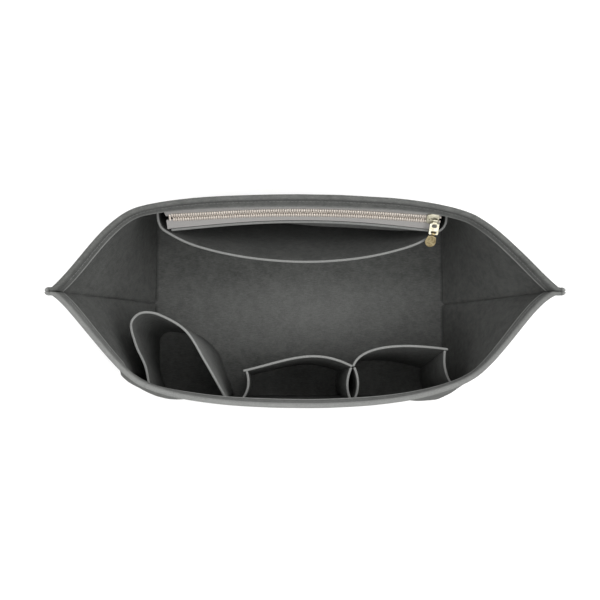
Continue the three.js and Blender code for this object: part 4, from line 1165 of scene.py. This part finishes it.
# painted light on the face, strongest near the lip
BOTTLE_PAINTED_LIGHT = 0.62
BOTTLE_LIGHT_FROM = (0.5, 0.7)  # shares of the loop between which the painted light comes in
BOTTLE_LIGHT_POWER = 1.5


def bottle_line(up, left, depth, plan):
    """The loop in plan at one height, from the front wall round and back to it."""
    ends = front_wall.standing(np.array([-BOTTLE_LEFT_SEAM, -BOTTLE_RIGHT_SEAM]), up, BUTTED)
    start, back = left - BASE_LENGTH / 2, -BASE_DEPTH / 2 + depth
    between = [(start + x, back - short, ends[0][2]) for x, short in plan]
    return by_length(through_points([ends[0], *between, ends[1]], even=False))


bottle_lip, bottle_length = bottle_line(BOTTLE_HEIGHT, *BOTTLE_LIP)
bottle_foot, _ = bottle_line(FLOOR, *BOTTLE_FOOT)
bottle_rise = BOTTLE_HEIGHT - FLOOR
s = lines(bottle_length, LIP_LINES) / bottle_length
t = (lines(bottle_rise) / bottle_rise)[:, None]
bottle_grid = bottle_foot(s) * (1 - t[..., None]) + bottle_lip(s) * t[..., None]
bottle = felt_piece(
    "bottle_holder_felt", bottle_grid, pale=paleness(bottle_grid, *BOTTLE_PALE),
    worn=BOTTLE_PAINTED_LIGHT * eased(s, BOTTLE_LIGHT_FROM, (0, 1)) * t ** BOTTLE_LIGHT_POWER)
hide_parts("bottle_holder")
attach(bottle, "organizer")


# The two front pockets: each is a bowed felt face with a gusset at both ends that is sewn to the front wall.
# The faces meet at one shared seam, and their outer ends stand past the gussets as small ears.
POCKET_HEIGHT = 110.0
POCKET_TAPER = 0.8
POCKET_EAR = 3.0
POCKET_SEAM = 42.0
POCKET_SEAM_OFF = 32.0
POCKET_SEAM_SPLIT = 0.4
POCKET_PALE = (0.5, 0.72)
GUSSET_BEND = 6.0
# corner and its distance off the wall, two bends of the face from the shared seam on, and the places of
# the outer and the inner gusset on the wall
LEFT_POCKET = (-52.6, 27.6, ((8.3, 50.5), (-11.9, 40.1)), -55.8, 39.5)
RIGHT_POCKET = (126.6, 35.8, ((49.3, 53.6), (96.6, 51.0)), 132.6, 43.8)


def pocket_strip(name, node, *bow):
    """A felt strip that stands on the base along a bow, given as places along and off the front wall."""
    at, length = by_length(bezier(*bow, count=200))
    along = at(lines(length, LIP_LINES) / length)
    height = POCKET_HEIGHT - FLOOR
    up = (lines(height) / height)[:, None]
    off = np.maximum(BUTTED, along[:, 1] * (POCKET_TAPER + (1 - POCKET_TAPER) * up))
    grid = front_wall.standing(np.broadcast_to(along[:, 0], off.shape), FLOOR + height * up, off)
    strip = felt_piece(name, grid, pale=paleness(grid, *POCKET_PALE))
    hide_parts(node)
    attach(strip, "organizer")


for name, way, pocket in (("left", -1, LEFT_POCKET), ("right", 1, RIGHT_POCKET)):
    corner, off, bends, foot, seam_foot = pocket
    seam_end = POCKET_SEAM + way * BUTTED / 2
    pocket_strip(
        f"{name}_pocket_felt", f"{name}_pocket_face",
        (POCKET_SEAM + way * POCKET_SEAM_SPLIT, POCKET_SEAM_OFF), *bends, (corner + way * POCKET_EAR, off))
    pocket_strip(
        f"{name}_outer_gusset_felt", f"{name}_pocket_outer_gusset",
        (foot, BUTTED), ((foot + corner) / 2 - way * GUSSET_BEND, off / 2), (corner, off - SEAM_GAP))
    pocket_strip(
        f"{name}_inner_gusset_felt", f"{name}_pocket_inner_gusset",
        (seam_foot, BUTTED), ((seam_foot + seam_end) / 2 + way * GUSSET_BEND, POCKET_SEAM_OFF / 2),
        (seam_end, POCKET_SEAM_OFF - FELT / 2))
